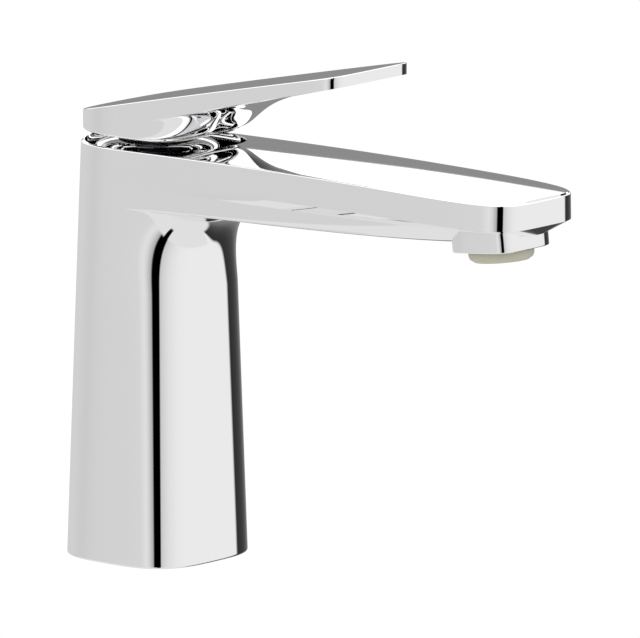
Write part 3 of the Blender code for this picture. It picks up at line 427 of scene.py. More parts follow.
NODE_FINISHES = {
    "base_gasket": "rubber", "cartridge_base": "housing", "cartridge_housing": "housing",
    "hot_foot_seal": "rubber", "cold_foot_seal": "rubber",
    "hot_disc_seal": "rubber", "cold_disc_seal": "rubber",
    "fixed_ceramic_disc": "ceramic", "moving_ceramic_disc": "ceramic",
    "disc_carrier": "turret", "cartridge_turret": "turret",
    "shoulder_o_ring": "rubber", "temperature_limit_ring": "limit", "cartridge_nut": "brass",
    "stem_pivot_pin": "steel", "cartridge_stem": "steel", "lever_set_screw": "steel",
    "aerator_shell": "brass", "jet_plate": "outlet", "flow_regulator": "rubber",
    "inlet_screen": "steel", "aerator_washer": "rubber",
}


def finish_named(name):
    """Material of a finish, made once."""
    made = bpy.data.materials.get("tap_" + name)
    if made is None:
        made = bpy.data.materials.new("tap_" + name)
        write, colour_name, values = FINISHES[name]
        base = tuple(getattr(bpy.context.scene.tap_finish, colour_name))
        write(Graph(made), base, *values)
    return made


# ================================================================== outlines
def mix(first, second, share):
    """Value part of the way from first to second."""
    return first + (second - first) * share


def smooth_share(share):
    """Share eased at both ends."""
    return share * share * (3.0 - 2.0 * share)


def rear_curve(half_x, half_y, power):
    """Rear half of an outline, from +Y round the back to -Y."""
    points = []
    for step in range(2 * SIDE_STEPS + 1):
        turn = math.pi / 2 + math.pi * step / (2 * SIDE_STEPS)
        x = -half_x * abs(math.cos(turn)) ** (2 / power)
        y = half_y * math.copysign(abs(math.sin(turn)) ** (2 / power), math.sin(turn))
        points.append((x, y))
    return points


def front_path(start, reach, half_y, tip_power, side_power):
    """Near front quarter: straight up to start, then the rounded tip."""
    points = [(0.0, -half_y)]
    if start > 0.0:
        points.append((start, -half_y))
    for step in range(1, FINE_STEPS + 1):
        turn = math.pi / 2 * smooth_share(step / FINE_STEPS)
        x = start + (reach - start) * math.sin(turn) ** (2 / tip_power)
        y = -half_y * abs(math.cos(turn)) ** (2 / side_power)
        points.append((x, y))
    points[-1] = (reach, 0.0)
    return points


def even_points(path, steps):
    """Points along a path, spaced by its length and by how much it turns."""
    scores = []
    travelled, turned_by, heading = 0.0, 0.0, None
    for (x0, y0), (x1, y1) in zip(path, path[1:]):
        travelled += math.hypot(x1 - x0, y1 - y0)
        new_heading = math.atan2(y1 - y0, x1 - x0)
        turned_by += 0.0 if heading is None else abs(new_heading - heading)
        heading = new_heading
        scores.append((travelled, turned_by))
    ruler = [0.0] + [far / travelled + turn / turned_by for far, turn in scores]
    points, position = [], 0
    for step in range(steps + 1):
        goal = ruler[-1] * step / steps
        while position < len(path) - 2 and ruler[position + 1] < goal:
            position += 1
        share = (goal - ruler[position]) / (ruler[position + 1] - ruler[position])
        points.append(tuple(mix(a, b, share) for a, b in zip(path[position],
                                                             path[position + 1])))
    return points


def plan_outline(rear_x, half_y, rear_power, start, reach, tip_power, side_power):
    """Closed outline: squared rear, straight sides up to start, rounded front."""
    near = even_points(front_path(start, reach, half_y, tip_power, side_power), FRONT_STEPS)
    far = [(x, -y) for x, y in reversed(near)]
    return rear_curve(rear_x, half_y, rear_power) + near[1:] + far[1:-1]


def circle(radius, steps):
    """Closed circle of points."""
    return [(radius * math.cos(2 * math.pi * step / steps),
             radius * math.sin(2 * math.pi * step / steps)) for step in range(steps)]


def squared_ring(half_x, half_y, power, height, front=None, front_power=None):
    """Level ring about the axis, its front drawn out to a length where asked."""
    front = half_x if front is None else front
    front_power = power if front_power is None else front_power
    outline = plan_outline(half_x, half_y, power, 0.0, front, front_power, front_power)
    return [(x, y, height) for x, y in outline]


# ==================================================================== meshes
def join_rows(made, first, second):
    """Faces between two rings, or between a ring and one point."""
    for index in range(max(len(first), len(second))):
        after = index + 1
        corners = (first[index % len(first)], first[after % len(first)],
                   second[after % len(second)], second[index % len(second)])
        made.faces.new(list(dict.fromkeys(corners)))


def loft(rings, closed_top=False):
    """Closed mesh through rings; the top may be a ring that folds onto a line."""
    made = bmesh.new()
    rows = [[made.verts.new(point) for point in ring] for ring in rings]
    for lower, upper in zip(rows, rows[1:]):
        join_rows(made, lower, upper)
    made.faces.new(list(reversed(rows[0])))
    if not closed_top:
        made.faces.new(rows[-1])
    bmesh.ops.remove_doubles(made, verts=made.verts, dist=WELD)
    bmesh.ops.recalc_face_normals(made, faces=made.faces)
    return made


def turned(profile, steps=ROUND_STEPS, centre=(0.0, 0.0)):
    """Turned mesh from a (radius, height) profile; it closes on itself or on the axis."""
    made = bmesh.new()
    rows = []
    for radius, height in profile:
        around = [(0.0, 0.0)] if radius == 0.0 else circle(radius, steps)
        rows.append([made.verts.new((centre[0] + x, centre[1] + y, height))
                     for x, y in around])
    pairs = list(zip(rows, rows[1:]))
    if profile[0][0] > 0.0:
        pairs.append((rows[-1], rows[0]))
    for first, second in pairs:
        join_rows(made, first, second)
    bmesh.ops.recalc_face_normals(made, faces=made.faces)
    return made


def block(low, high):
    """Box between two corners."""
    made = bmesh.new()
    bmesh.ops.create_cube(made, size=1.0)
    for vert in made.verts:
        vert.co = [mix(low[axis], high[axis], vert.co[axis] + 0.5) for axis in range(3)]
    return made


def rounded_profile(corners, radius):
    """Profile with each corner off the axis rounded."""
    points = []
    count = len(corners)
    for index, corner in enumerate(corners):
        here = Vector(corner)
        before = Vector(corners[index - 1]) - here
        after = Vector(corners[(index + 1) % count]) - here
        if corner[0] == 0.0:
            points.append(tuple(corner))
            continue
        reach = min(radius, before.length * 0.45, after.length * 0.45)
        first = here + before.normalized() * reach
        last = here + after.normalized() * reach
        for step in range(EDGE_STEPS + 1):
            share = step / EDGE_STEPS
            bend = first.lerp(here, share).lerp(here.lerp(last, share), share)
            points.append(tuple(bend))
    return points


def new_piece(name, made):
    """Object at the origin holding a mesh."""
    mesh = bpy.data.meshes.new(name)
    made.to_mesh(mesh)
    made.free()
    item = bpy.data.objects.new(name, mesh)
    bpy.context.scene.collection.objects.link(item)
    return item


def machine(item, jobs):
    """Cut or join meshes onto a piece with exact Booleans, and keep the result."""
    cutters = []
    for operation, made in jobs:
        cutter = new_piece(item.name + "_tool", made)
        modifier = item.modifiers.new("tool", "BOOLEAN")
        modifier.operation = operation
        modifier.solver = "EXACT"
        modifier.object = cutter
        cutters.append(cutter)
    bake_modifiers(item)
    for cutter in cutters:
        bpy.data.objects.remove(cutter, do_unlink=True)


def bake_modifiers(item):
    """Replace a piece's mesh with its evaluated mesh and drop its modifiers."""
    depsgraph = bpy.context.evaluated_depsgraph_get()
    result = bpy.data.meshes.new_from_object(item.evaluated_get(depsgraph))
    item.modifiers.clear()
    item.data = result


def complete(item, body, slot, finish, *nodes):
    """Shade a piece, give it its finish and hang it on its body in place of CAD nodes."""
    item.data.materials.clear()
    item.data.materials.append(finish_named(finish))
    item.data.shade_smooth()
    item.data.set_sharp_from_angle(angle=SMOOTH_LIMIT)
    weighted = item.modifiers.new("even_shading", "WEIGHTED_NORMAL")
    weighted.keep_sharp = True
    bake_modifiers(item)
    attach(item, body)
    if nodes:
        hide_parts(*nodes)


def edge_round(radius):
    """(inset, drop) pairs round an outer edge, from the side up to the top."""
    steps = [math.pi / 2 * step / EDGE_STEPS for step in range(EDGE_STEPS + 1)]
    return [(radius * (1.0 - math.cos(turn)), radius * (1.0 - math.sin(turn)))
            for turn in steps]


def roof_rings(outline, first_x, last_x, height_at):
    """Rings that close a roof from its outline onto the line between first_x and last_x."""
    rings = []
    for share in (0.985, 0.95, 0.9, 0.82, 0.72, 0.6, 0.47, 0.33, 0.18, 0.07, 0.0):
        ring = []
        for x, y in outline:
            spine = min(max(x, first_x), last_x)
            place = (mix(spine, x, share), y * share)
            ring.append((*place, height_at(*place)))
        rings.append(ring)
    return rings


# ============================================================== body casting
class BodyShape:
    """Shape of the column and the spout, from the body settings."""

    def __init__(self, sizes):
        self.s = sizes

    def edge_height(self, x):
        """Height of the top's edge at x, a long low arch from rim to tip."""
        share = min(max(x / self.s.reach, 0.0), 1.0)
        return self.s.rim_height + self.s.top_rise * math.sin(math.pi * share)

    def roof_height(self, x, y):
        """Height of the crowned top."""
        off_middle = min(abs(y) / self.s.rim_half_y, 1.0)
        return self.edge_height(x) + self.s.crown * (1.0 - off_middle ** 2)

    def band_bottom(self, x):
        """Height of the side band's lower edge at x."""
        share = min(max(x / self.s.reach, 0.0), 1.0)
        return self.edge_height(x) - mix(self.s.band_rear, self.s.band_tip, share)

    def column_size(self, height):
        """Half sizes and squareness of the tapering column."""
        s = self.s
        share = height / s.rim_height
        return (mix(s.base_half_x, s.rim_half_x, share),
                mix(s.base_half_y, s.rim_half_y, share),
                mix(s.base_power, s.rim_power, share))

    def column_ring(self, height, inset=0.0, reach=None, power=None):
        """Ring of the column, its front drawn out to reach where asked."""
        half_x, half_y, own_power = self.column_size(height)
        front = None if reach is None else reach - inset
        return squared_ring(half_x - inset, half_y - inset, own_power, height, front, power)

    def spout_outline(self, level, inset=0.0):
        """Outline of column and spout, as wide as the column at a level."""
        s = self.s
        half_x, half_y, power = self.column_size(level)
        return plan_outline(half_x - inset, half_y - inset, power, s.taper_start,
                            s.reach - inset, s.tip_power, s.side_power)

    def underside_rings(self):
        """Rings through the fillet and along the spout's underside."""
        s = self.s
        hull_base = s.rim_height - s.hull_depth
        start = hull_base - s.fillet_height
        rings = []
        steps = 26
        for step in range(steps + 1):
            share = 1.0 - (1.0 - step / steps) ** 2
            height = start + s.fillet_height * share
            flare = s.fillet_reach * (1.0 - math.sqrt(max(1.0 - share ** 3, 0.0)))
            half_x, _, own_power = self.column_size(height)
            rings.append(self.column_ring(height, reach=half_x + flare,
                                          power=mix(own_power, s.hull_power, share)))
        hull_start = self.column_size(hull_base)[0] + s.fillet_reach
        for step in range(1, steps + 1):
            share = HULL_END * (1.0 - (1.0 - step / steps) ** 1.6)
            climb = s.hull_rise * share + (s.band_tip - s.hull_rise) * share ** 8
            rings.append(self.column_ring(hull_base + climb, power=s.hull_power,
                                          reach=mix(hull_start, s.reach, share)))
        return rings

    def skin(self):
        """Outer skin of the casting."""
        s = self.s
        rings = [self.column_ring(inset, inset=drop) for inset, drop in edge_round(s.foot_bevel)]
        straight_top = s.rim_height - s.hull_depth - s.fillet_height
        rings += [self.column_ring(mix(s.foot_bevel, straight_top, step / 10))
                  for step in range(1, 10)]
        rings += self.underside_rings()
        for share in (0.0, 0.25, 0.5, 0.75):
            outline = self.spout_outline(s.rim_height - s.band_rear * (1.0 - share))
            rings.append([(x, y, mix(self.band_bottom(x), self.edge_height(x) - s.edge_bevel,
                                     share)) for x, y in outline])
        for inset, drop in edge_round(s.edge_bevel):
            rings.append([(x, y, self.edge_height(x) - drop)
                          for x, y in self.spout_outline(s.rim_height, inset)])
        roof = self.spout_outline(s.rim_height, s.edge_bevel)
        rings += roof_rings(roof, 0.0, s.reach - s.rim_half_y, self.roof_height)
        return loft(rings, closed_top=True)

    def recess(self):
        """Recess that clears the turning hub, with a rounded front lip."""
        s = self.s
        depth = s.rim_height + s.top_rise + s.crown - s.recess_floor
        levels = [(s.recess_floor, 0.0)]
        steps = 14
        for step in range(1, steps + 1):
            share = math.sin(math.pi / 2 * step / steps)
            levels.append((s.recess_floor + depth * share,
                           s.recess_lip * (1.0 - math.sqrt(max(1.0 - share ** 2, 0.0)))))
        levels.append((s.recess_floor + depth + s.recess_lip, s.recess_lip))
        return loft([squared_ring(s.rim_half_x - s.recess_wall, s.rim_half_y - s.recess_wall,
                                  s.rim_power, height, s.recess_front + spread)
                     for height, spread in levels])

    def foot_hollow(self):
        """Open hollow in the foot."""
        rings = []
        for height in (-CUT_MARGIN, HOLLOW_TOP):
            half_x, half_y, power = self.column_size(max(height, 0.0))
            rings.append(squared_ring(half_x - HOLLOW_WALL, half_y - HOLLOW_WALL, power, height))
        return loft(rings)

    def gasket_groove(self):
        """Groove under the foot round the gasket."""
        _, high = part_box("base_gasket")
        inner, roof = GASKET_WIDTH + CLEARANCE, high.z + CLEARANCE
        made = bmesh.new()
        rows = []
        for offset, height in ((inner, -CUT_MARGIN), (-CLEARANCE, -CUT_MARGIN),
                               (-CLEARANCE, roof), (inner, roof)):
            ring = squared_ring(high.x - offset, high.y - offset, self.s.base_power, height)
            rows.append([made.verts.new(point) for point in ring])
        for first, second in zip(rows, rows[1:] + rows[:1]):
            join_rows(made, first, second)
        bmesh.ops.recalc_face_normals(made, faces=made.faces)
        return made


def outlet_frame(outlet):
    """Matrix of the tilted outlet, its Z up the aerator's axis."""
    return (Matrix.Translation((outlet.x, 0.0, outlet.z))
            @ Matrix.Rotation(-outlet.tilt, 4, "Y"))


def at_outlet(made):
    """Mesh moved onto the outlet."""
    made.transform(outlet_frame(bpy.context.scene.tap_outlet))
    return made


def collar(outlet, edge_bevel):
    """Squared collar under the tip, flaring into the spout."""
    levels = [(inset, -drop) for inset, drop in edge_round(edge_bevel)]
    levels.append((outlet.collar_straight, 0.0))
    steps = 10
    for step in range(1, steps + 1):
        share = math.sin(math.pi / 2 * step / steps)
        levels.append((outlet.collar_straight + outlet.collar_flare * share,
                       outlet.collar_flare * COLLAR_SPREAD
                       * (1.0 - math.sqrt(1.0 - (COLLAR_BEND * share) ** 2))))
    return at_outlet(loft([squared_ring(outlet.collar_half + spread, outlet.collar_half + spread,
                                        outlet.collar_power, height)
                           for height, spread in levels]))


def chamber():
    """Stepped bore for the cartridge and its nut."""
    _, housing_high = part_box("cartridge_housing")
    base_low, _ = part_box("cartridge_base")
    nut_low, nut_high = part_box("cartridge_nut")
    bore = housing_high.x + RUNNING_CLEARANCE
    thread = nut_high.x + CLEARANCE
    shoulder = nut_low.z - CLEARANCE
    seat = base_low.z - CLEARANCE
    top = bpy.context.scene.tap_body.recess_floor + CUT_MARGIN
    return turned([(0.0, seat), (bore, seat), (bore, shoulder), (thread, shoulder),
                   (thread, top), (0.0, top)], SMALL_STEPS * 2)


def inlet(side):
    """Hose socket and port on the hot or cold side."""
    low, step, high = HOLLOW_TOP - CUT_MARGIN, HOLLOW_TOP + HOSE_DEPTH, SEAT + CUT_MARGIN
    return turned([(0.0, low), (HOSE_RADIUS, low), (HOSE_RADIUS, step), (PORT_RADIUS, step),
                   (PORT_RADIUS, high), (0.0, high)], SMALL_STEPS, (PORT_X, PORT_Y * side))


def stud_socket():
    """Plain socket for the fixing stud."""
    low, high = HOLLOW_TOP - CUT_MARGIN, HOLLOW_TOP + STUD_DEPTH
    return turned([(0.0, low), (STUD_RADIUS, low), (STUD_RADIUS, high), (0.0, high)],
                  SMALL_STEPS, (STUD_X, 0.0))


class TAP_OT_body(bpy.types.Operator):
    """Build the chromed body casting"""
    bl_idname = "tap.body"
    bl_label = "Body Casting"

    def execute(self, context):
        sizes, outlet = context.scene.tap_body, context.scene.tap_outlet
        shape = BodyShape(sizes)
        piece = new_piece("body_shell", shape.skin())
        bore = turned([(0.0, -CUT_MARGIN), (outlet.thread_radius, -CUT_MARGIN),
                       (outlet.thread_radius, outlet.bore_depth), (0.0, outlet.bore_depth)],
                      SMALL_STEPS * 2)
        machine(piece, [("UNION", collar(outlet, sizes.edge_bevel)),
                        ("DIFFERENCE", shape.recess()), ("DIFFERENCE", shape.foot_hollow()),
                        ("DIFFERENCE", chamber()), ("DIFFERENCE", at_outlet(bore)),
                        ("DIFFERENCE", shape.gasket_groove()), ("DIFFERENCE", inlet(1)),
                        ("DIFFERENCE", inlet(-1)), ("DIFFERENCE", stud_socket())])
        complete(piece, "fixed", "chrome_casting", "chrome", "body_casting")
        return {"FINISHED"}


# ===================================================================== lever
class LeverShape:
    """Shape of the lever, from the lever settings."""

    def __init__(self, sizes):
        self.s = sizes

    def top(self, x):
        """Height of the top at x, a slope with a low arch."""
        return self.s.height + self.s.slope * x - self.s.arch * x * x

    def under(self, x):
        """Height of the side band's lower edge at x."""
        s = self.s
        if x < 0.0:
            return mix(self.under(0.0), self.top(-s.rear) - s.rear_band, -x / s.rear)
        return self.top(x) - mix(s.thickness_rear, s.thickness_tip, x / s.reach)

    def narrowed(self, outline):
        """Outline that narrows steadily ahead of the axis."""
        return [(x, y * (1.0 - self.s.narrowing * max(x, 0.0))) for x, y in outline]

    def outline(self, inset=0.0):
        """Outline of the lever's whole plan."""
        s = self.s
        return self.narrowed(plan_outline(s.rear - inset, s.half_width - inset, s.rear_power,
                                          s.reach - s.tip_length, s.reach - inset,
                                          s.tip_power, s.side_power))

    def hub_ring(self, height, inset=0.0, reach=None, slopes=(0.0, 0.0)):
        """Ring of the hub, drawn out forwards to reach, sloping behind and ahead."""
        s = self.s
        front = (s.hub_front if reach is None else reach) - inset
        outline = self.narrowed(plan_outline(s.rear - inset, s.half_width - inset, s.rear_power,
                                             0.0, front, s.hub_power, s.hub_power))
        behind, ahead = slopes
        return [(x, y, height + (behind if x < 0.0 else ahead) * x) for x, y in outline]

    def keel(self, reach):
        """Share of the hub's depth left below the blade at a reach."""
        s = self.s
        return 1.0 / (1.0 + ((reach - s.hub_front) / s.keel_length) ** s.keel_power)

    def skin(self):
        """Outer skin of hub and blade."""
        s = self.s
        corner = s.hub_rounding * 0.75
        rings = []
        steps = 8
        for step in range(steps + 1):
            share = 1.0 - math.cos(math.pi / 2 * step / steps)
            inset = s.hub_rounding * (1.0 - math.sqrt(1.0 - (1.0 - share) ** 2))
            rings.append(self.hub_ring(s.hub_bottom + corner * share, inset=inset))
        first = s.hub_bottom + corner
        last = self.under(0.0) - CLEARANCE
        depth = self.under(s.hub_front) - first
        rear_slope = (self.under(0.0) - self.under(-s.rear)) / s.rear * REAR_SLOPE_SHARE
        furthest = s.reach * KEEL_END
        steps = 44
        for step in range(1, steps + 1):
            reach = mix(s.hub_front, furthest, (step / steps) ** KEEL_SPACING)
            left = self.keel(reach)
            height = mix(last, first, left)
            ahead = (self.under(reach) - depth * left - height) / reach
            rings.append(self.hub_ring(height, reach=reach,
                                       slopes=(rear_slope * (1.0 - left), ahead)))
        outline = self.outline()
        for share in (0.0, 0.33, 0.67):
            rings.append([(x, y, mix(self.under(x), self.top(x), share)) for x, y in outline])
        for inset, drop in edge_round(s.edge_bevel):
            rings.append([(x, y, self.top(x) - drop) for x, y in self.outline(inset)])
        roof = self.outline(s.edge_bevel)
        rings += roof_rings(roof, 0.0, s.reach - s.half_width, lambda x, y: self.top(x))
        return loft(rings, closed_top=True)


def along_x(made, start, height):
    """Mesh made about Z laid along +X from a start."""
    made.transform(Matrix.Translation((start, 0.0, height)) @ Matrix.Rotation(math.pi / 2, 4, "Y"))
    return made


class TAP_OT_lever(bpy.types.Operator):
    """Build the lever and the plug in its hub"""
    bl_idname = "tap.lever"
    bl_label = "Lever and Plug"

    def execute(self, context):
        sizes = context.scene.tap_lever
        lever = new_piece("lever_blade", LeverShape(sizes).skin())
        stem_low, stem_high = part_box("cartridge_stem")
        screw_low, screw_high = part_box("lever_set_screw")
        socket = block((stem_low.x - CLEARANCE, stem_low.y - CLEARANCE,
                        sizes.hub_bottom - CUT_MARGIN),
                       (stem_high.x + CLEARANCE, stem_high.y + CLEARANCE, stem_high.z + CLEARANCE))
        below, hollow_top = sizes.hub_bottom - CUT_MARGIN, sizes.hub_bottom + HUB_HOLLOW_HEIGHT
        hollow = turned([(0.0, below), (HUB_HOLLOW_RADIUS, below),
                         (HUB_HOLLOW_RADIUS, hollow_top), (0.0, hollow_top)], SMALL_STEPS * 2)
        outside = -sizes.rear - CUT_MARGIN
        plug_radius = PLUG_HIGH.y + CLEARANCE
        screw_radius = screw_high.y + CLEARANCE
        screw_height = (screw_low.z + screw_high.z) / 2
        recess_end = PLUG_HIGH.x + CLEARANCE - outside
        hole_end = stem_low.x + SCREW_REACH - outside
        hole = turned([(0.0, 0.0), (plug_radius, 0.0), (plug_radius, recess_end),
                       (screw_radius, recess_end), (screw_radius, hole_end), (0.0, hole_end)],
                      SMALL_STEPS)
        machine(lever, [("DIFFERENCE", hollow), ("DIFFERENCE", socket),
                        ("DIFFERENCE", along_x(hole, outside, screw_height))])
        complete(lever, "handle", "chrome_lever", "chrome", "lever")

        depth = PLUG_HIGH.x - PLUG_LOW.x
        profile = rounded_profile([(0.0, 0.0), (PLUG_HIGH.y * 0.8, 0.0),
                                   (PLUG_HIGH.y, depth * 0.25), (PLUG_HIGH.y, depth),
                                   (0.0, depth)], PLUG_ROUNDING)
        plug = new_piece("hub_plug", along_x(turned(profile, SMALL_STEPS), PLUG_LOW.x,
                                             screw_height))
        complete(plug, "handle", "chrome_trim", "chrome", "index_plug")
        return {"FINISHED"}


class TAP_OT_dome(bpy.types.Operator):
    """Build the domed cap between body and lever"""
    bl_idname = "tap.dome"
    bl_label = "Dome Cap"

    def execute(self, context):
        nut_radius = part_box("cartridge_nut")[1].x
        outer, bottom, top = DOME_HIGH.x, DOME_LOW.z, DOME_HIGH.z
        shoulder = bottom + DOME_SKIRT
        inside = nut_radius + CLEARANCE
        profile = rounded_profile([(inside, bottom), (outer, bottom), (outer, shoulder)],
                                  DOME_ROUNDING)[:-1]
        steps = 20
        for step in range(steps + 1):
            turn = math.pi / 2 * step / steps
            profile.append((mix(outer, DOME_HOLE, 1.0 - math.cos(turn)),
                            mix(shoulder, top, math.sin(turn))))
        profile += [(DOME_HOLE, top - DOME_WALL), (inside - 0.0010, shoulder + 0.0014),
                    (inside, shoulder + 0.0004)]
        piece = new_piece("dome_shell", turned(profile))
        complete(piece, "fixed", "chrome_trim", "chrome", "dome_cap")
        return {"FINISHED"}


# ==================================================================== outlet
def socket_named(tree, name):
    """Identifier of a node group's input."""
    for item in tree.interface.items_tree:
        if item.item_type == "SOCKET" and item.in_out == "INPUT" and item.name == name:
            return item.identifier
    raise KeyError(name)


def nozzle_tree(material):
    """Geometry nodes that set small nozzles in a six-sided pattern inside a circle."""
    tree = bpy.data.node_groups.new("nozzle_pattern", "GeometryNodeTree")
    sizes = (("Rings", "NodeSocketInt"), ("Spacing", "NodeSocketFloat"),
             ("Radius", "NodeSocketFloat"), ("Height", "NodeSocketFloat"))
    for name, kind in sizes:
        tree.interface.new_socket(name, in_out="INPUT", socket_type=kind)
    tree.interface.new_socket("Geometry", in_out="OUTPUT", socket_type="NodeSocketGeometry")

    def add(kind, settings=None, **links):
        node = tree.nodes.new(kind)
        for name, value in (settings or {}).items():
            setattr(node, name, value)
        for name, value in links.items():
            socket = node.inputs[int(name[1:])] if name[0] == "i" and name[1:].isdigit() \
                else node.inputs[name.replace("_", " ")]
            if isinstance(value, bpy.types.NodeSocket):
                tree.links.new(value, socket)
            else:
                socket.default_value = value
        return node

    def calc(operation, first, second):
        return add("ShaderNodeMath", {"operation": operation}, i0=first, i1=second).outputs[0]

    given = add("NodeGroupInput").outputs
    count = calc("ADD", calc("MULTIPLY", given["Rings"], 2.0), 1.0)
    span = calc("MULTIPLY", calc("MULTIPLY", given["Rings"], 2.0), given["Spacing"])
    grid = add("GeometryNodeMeshGrid", Size_X=span, Size_Y=calc("MULTIPLY", span, 0.866),
               Vertices_X=count, Vertices_Y=count).outputs["Mesh"]
    index = add("GeometryNodeInputIndex").outputs[0]
    odd = calc("MODULO", calc("MODULO", index, count), 2.0)
    shift = calc("MULTIPLY", calc("MULTIPLY", odd, 0.5), given["Spacing"])
    offset = add("ShaderNodeCombineXYZ", X=shift).outputs[0]
    moved = add("GeometryNodeSetPosition", Geometry=grid, Offset=offset).outputs[0]
    place = add("GeometryNodeInputPosition").outputs[0]
    far = add("ShaderNodeVectorMath", {"operation": "LENGTH"}, i0=place).outputs["Value"]
    limit = calc("MULTIPLY", calc("ADD", given["Rings"], 0.3), given["Spacing"])
    outside = add("FunctionNodeCompare", {"data_type": "FLOAT", "operation": "GREATER_THAN"},
                  i0=far, i1=limit).outputs[0]
    kept = add("GeometryNodeDeleteGeometry", {"domain": "POINT"}, Geometry=moved,
               Selection=outside).outputs[0]
    tip = calc("MULTIPLY", given["Radius"], 0.62)
    nozzle = add("GeometryNodeMeshCone", Vertices=10, Radius_Top=tip,
                 Radius_Bottom=given["Radius"], Depth=given["Height"]).outputs["Mesh"]
    set_out = add("GeometryNodeInstanceOnPoints", Points=kept, Instance=nozzle).outputs[0]
    real = add("GeometryNodeRealizeInstances", Geometry=set_out).outputs[0]
    dressed = add("GeometryNodeSetMaterial", Geometry=real, Material=material).outputs[0]
    add("NodeGroupOutput", Geometry=dressed)
    return tree


class TAP_OT_outlet(bpy.types.Operator):
    """Build the aerator's face and its nozzles"""
    bl_idname = "tap.outlet"
    bl_label = "Outlet"

    def execute(self, context):
        outlet = context.scene.tap_outlet
        low = -outlet.stick_out
        radius = outlet.face_radius
        mouth = radius - MOUTH_WALL
        inside = outlet.thread_radius - CLEARANCE * 2 - SHELL_WALL
        corners = [(0.0, FACE_FLOOR), (mouth, FACE_FLOOR), (mouth, low + 0.0004),
                   (mouth + 0.0006, low),
                   (radius - 0.0016, low + 0.0001), (radius - 0.0004, low + 0.0008),
                   (radius, low + 0.0020), (radius, FACE_LIP - 2 * CLEARANCE),
                   (inside, FACE_LIP - CLEARANCE), (inside, FACE_TOP), (0.0, FACE_TOP)]
        face = new_piece("aerator_ring", at_outlet(turned(rounded_profile(corners,
                                                                          FACE_ROUNDING))))
        complete(face, "fixed", "outlet_plastic", "outlet", "aerator_face")

        tree = nozzle_tree(finish_named("outlet"))
        nozzles = new_piece("aerator_nozzles", bmesh.new())
        modifier = nozzles.modifiers.new("pattern", "NODES")
        modifier.node_group = tree
        for name, value in (("Rings", outlet.nozzle_rings), ("Spacing", outlet.nozzle_gap),
                            ("Radius", outlet.nozzle_radius), ("Height", outlet.nozzle_height)):
            modifier[socket_named(tree, name)] = value
        bake_modifiers(nozzles)
        hang = Matrix.Translation((0.0, 0.0, FACE_FLOOR - outlet.nozzle_height / 2
                                   - NOZZLE_SINK))
        flip = Matrix.Rotation(math.pi, 4, "X")
        nozzles.data.transform(outlet_frame(outlet) @ hang @ flip)
        complete(nozzles, "fixed", "outlet_plastic", "outlet")
        return {"FINISHED"}


class TAP_OT_inner_finishes(bpy.types.Operator):
    """Give the inner parts their finishes"""
    bl_idname = "tap.inner_finishes"
    bl_label = "Inner Parts"

    def execute(self, context):
        for name, finish in NODE_FINISHES.items():
            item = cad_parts[name]
            item.data.materials.clear()
            item.data.materials.append(finish_named(finish))
        return {"FINISHED"}


# ==================================================================== studio
# Brightness round the horizon that the upright faces mirror: degrees on from the camera's side.
HORIZON = [(0, 0.0), (5.5, 0.0), (7.5, 0.62), (18, 0.72), (30, 0.80), (50, 0.87), (70, 0.89),
           (112, 0.89), (115, 0.03), (128, 0.045), (142, 0.08), (156, 0.18), (168, 0.27),
           (187, 0.27), (191, 0.66), (232, 0.68), (262, 0.635), (280, 0.69), (316, 0.71),
           (328, 0.80), (334, 0.74), (341, 0.56), (346, 0.42), (348, 0.0), (360, 0.0)]


# Degrees above or below the level at which the walls give way to ceiling, floor and card's end.
CEILING_FAR = 9.0
CEILING_NEAR = 28.0
CEILING_SOFTNESS = 0.6
FLOOR_START = 33.0
FLOOR_SHADED_DROP = 20.0
FLOOR_SOFTNESS = 5.0
CARD_END = (58.0, 52.0)
CARD_SOFTNESS = 0.004


def studio_light(world, studio):
    """World seen in the chrome: pale walls, a black card, a bright ceiling and floor."""
    graph = Graph(world)
    ray = graph.out(graph.node("ShaderNodeTexCoord"), "Generated")
    parts = graph.node("ShaderNodeSeparateXYZ", None, {"Vector": ray})
    x, y, z = (graph.out(parts, name) for name in "XYZ")
    turn = x.math("ARCTAN2", -y) / (2 * math.pi) - studio.azimuth / (2 * math.pi)
    around = turn.math("WRAP", 1.0, 0.0)
    climb = z.math("ARCSINE") * (180.0 / math.pi)
    walls = around.ramp([(place / 360.0, level) for place, level in HORIZON])
    far_side = around.math("SUBTRACT", 0.5).math("ABSOLUTE")
    near = far_side.step(0.09, 0.16)
    ceiling_start = CEILING_FAR + near * (CEILING_NEAR - CEILING_FAR)
    ceiling = (climb - ceiling_start).step(0.0, CEILING_SOFTNESS)
    shaded = around.step(0.29, 0.31) * around.step(0.47, 0.43)
    floor_start = FLOOR_START + shaded * FLOOR_SHADED_DROP
    floor = (-climb - floor_start).step(0.0, FLOOR_SOFTNESS)
    half_card = studio.card_width / (2 * math.pi)
    card = 1.0 - (0.5 - far_side).step(half_card - CARD_SOFTNESS, half_card)
    card = card * climb.math("ABSOLUTE").step(*CARD_END)
    light = graph.blend(floor, walls, grey(studio.floor))
    light = graph.blend(ceiling, light, grey(studio.ceiling))
    light = graph.blend(card, light, grey(0.0))
    shine = graph.out(graph.node("ShaderNodeBackground", None, {"Color": light}))
    graph.node("ShaderNodeOutputWorld", None, {"Surface": shine})


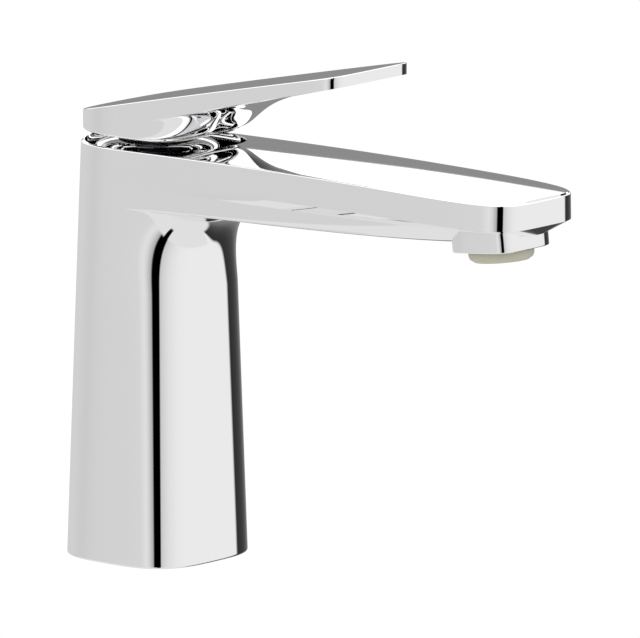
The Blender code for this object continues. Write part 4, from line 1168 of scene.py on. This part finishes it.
def backdrop(studio):
    """White floor that runs up into a white dome, kept out of the chrome."""
    profile = []
    steps = 24
    for step in range(steps + 1):
        turn = math.pi / 2 * step / steps
        profile.append((studio.dome * math.cos(turn), studio.dome * math.sin(turn)))
    profile[-1] = (0.0, studio.dome)
    made = turned([(0.0, 0.0)] + profile, 64)
    bmesh.ops.reverse_faces(made, faces=made.faces)
    item = new_piece("backdrop", made)
    material = bpy.data.materials.new("studio_white")
    graph = Graph(material)
    place = graph.place()
    wash = graph.noise(place, 0.2, 1.0)
    tone = graph.blend(wash, grey(0.99), grey(1.0))
    glow = graph.out(graph.node("ShaderNodeEmission", None, {"Color": tone, "Strength": 1.02}))
    graph.node("ShaderNodeOutputMaterial", None, {"Surface": glow})
    item.data.materials.append(material)
    item.visible_glossy = False


class TAP_OT_studio(bpy.types.Operator):
    """Set up the camera, the floor and the light"""
    bl_idname = "tap.studio"
    bl_label = "Studio"

    def execute(self, context):
        scene = context.scene
        studio = scene.tap_studio
        scene.view_settings.view_transform = "Standard"
        scene.view_settings.look = "None"
        scene.world = bpy.data.worlds.new("studio")
        studio_light(scene.world, studio)
        backdrop(studio)

        camera = bpy.data.objects.new("camera", bpy.data.cameras.new("camera"))
        scene.collection.objects.link(camera)
        camera.data.sensor_width = 36.0
        camera.data.lens = studio.lens
        level = math.cos(studio.elevation)
        back = Vector((math.sin(studio.azimuth) * level, -math.cos(studio.azimuth) * level,
                       math.sin(studio.elevation)))
        camera.location = Vector(studio.target) + back * studio.distance
        camera.rotation_euler = (-back).to_track_quat("-Z", "Y").to_euler()
        camera.data.clip_start = 0.1
        camera.data.clip_end = 100.0
        scene.camera = camera
        return {"FINISHED"}


class TAP_PT_panel(bpy.types.Panel):
    """List of the tap's building steps"""
    bl_idname = "TAP_PT_panel"
    bl_label = "Basin Mixer Tap"
    bl_space_type = "VIEW_3D"
    bl_region_type = "UI"
    bl_category = "Mixer Tap"

    def draw(self, context):
        for operator in OPERATORS:
            self.layout.operator(operator.bl_idname)
        for group in SETTINGS:
            box = self.layout.box()
            box.label(text=group.replace("tap_", "").title())
            for name in getattr(context.scene, group).__annotations__:
                box.prop(getattr(context.scene, group), name)


OPERATORS = (TAP_OT_studio, TAP_OT_body, TAP_OT_lever, TAP_OT_dome, TAP_OT_outlet,
             TAP_OT_inner_finishes)
CLASSES = tuple(SETTINGS.values()) + OPERATORS + (TAP_PT_panel,)


def register():
    """Register the classes and hang the settings on the scene."""
    for cls in CLASSES:
        bpy.utils.register_class(cls)
    for name, group in SETTINGS.items():
        setattr(bpy.types.Scene, name, bpy.props.PointerProperty(type=group))


def unregister():
    """Take the settings and the classes off again."""
    for name in SETTINGS:
        delattr(bpy.types.Scene, name)
    for cls in reversed(CLASSES):
        bpy.utils.unregister_class(cls)


def main():
    """Build everything."""
    register()
    for operator in OPERATORS:
        group, name = operator.bl_idname.split(".")
        getattr(getattr(bpy.ops, group), name)()


if __name__ == "__main__":
    main()
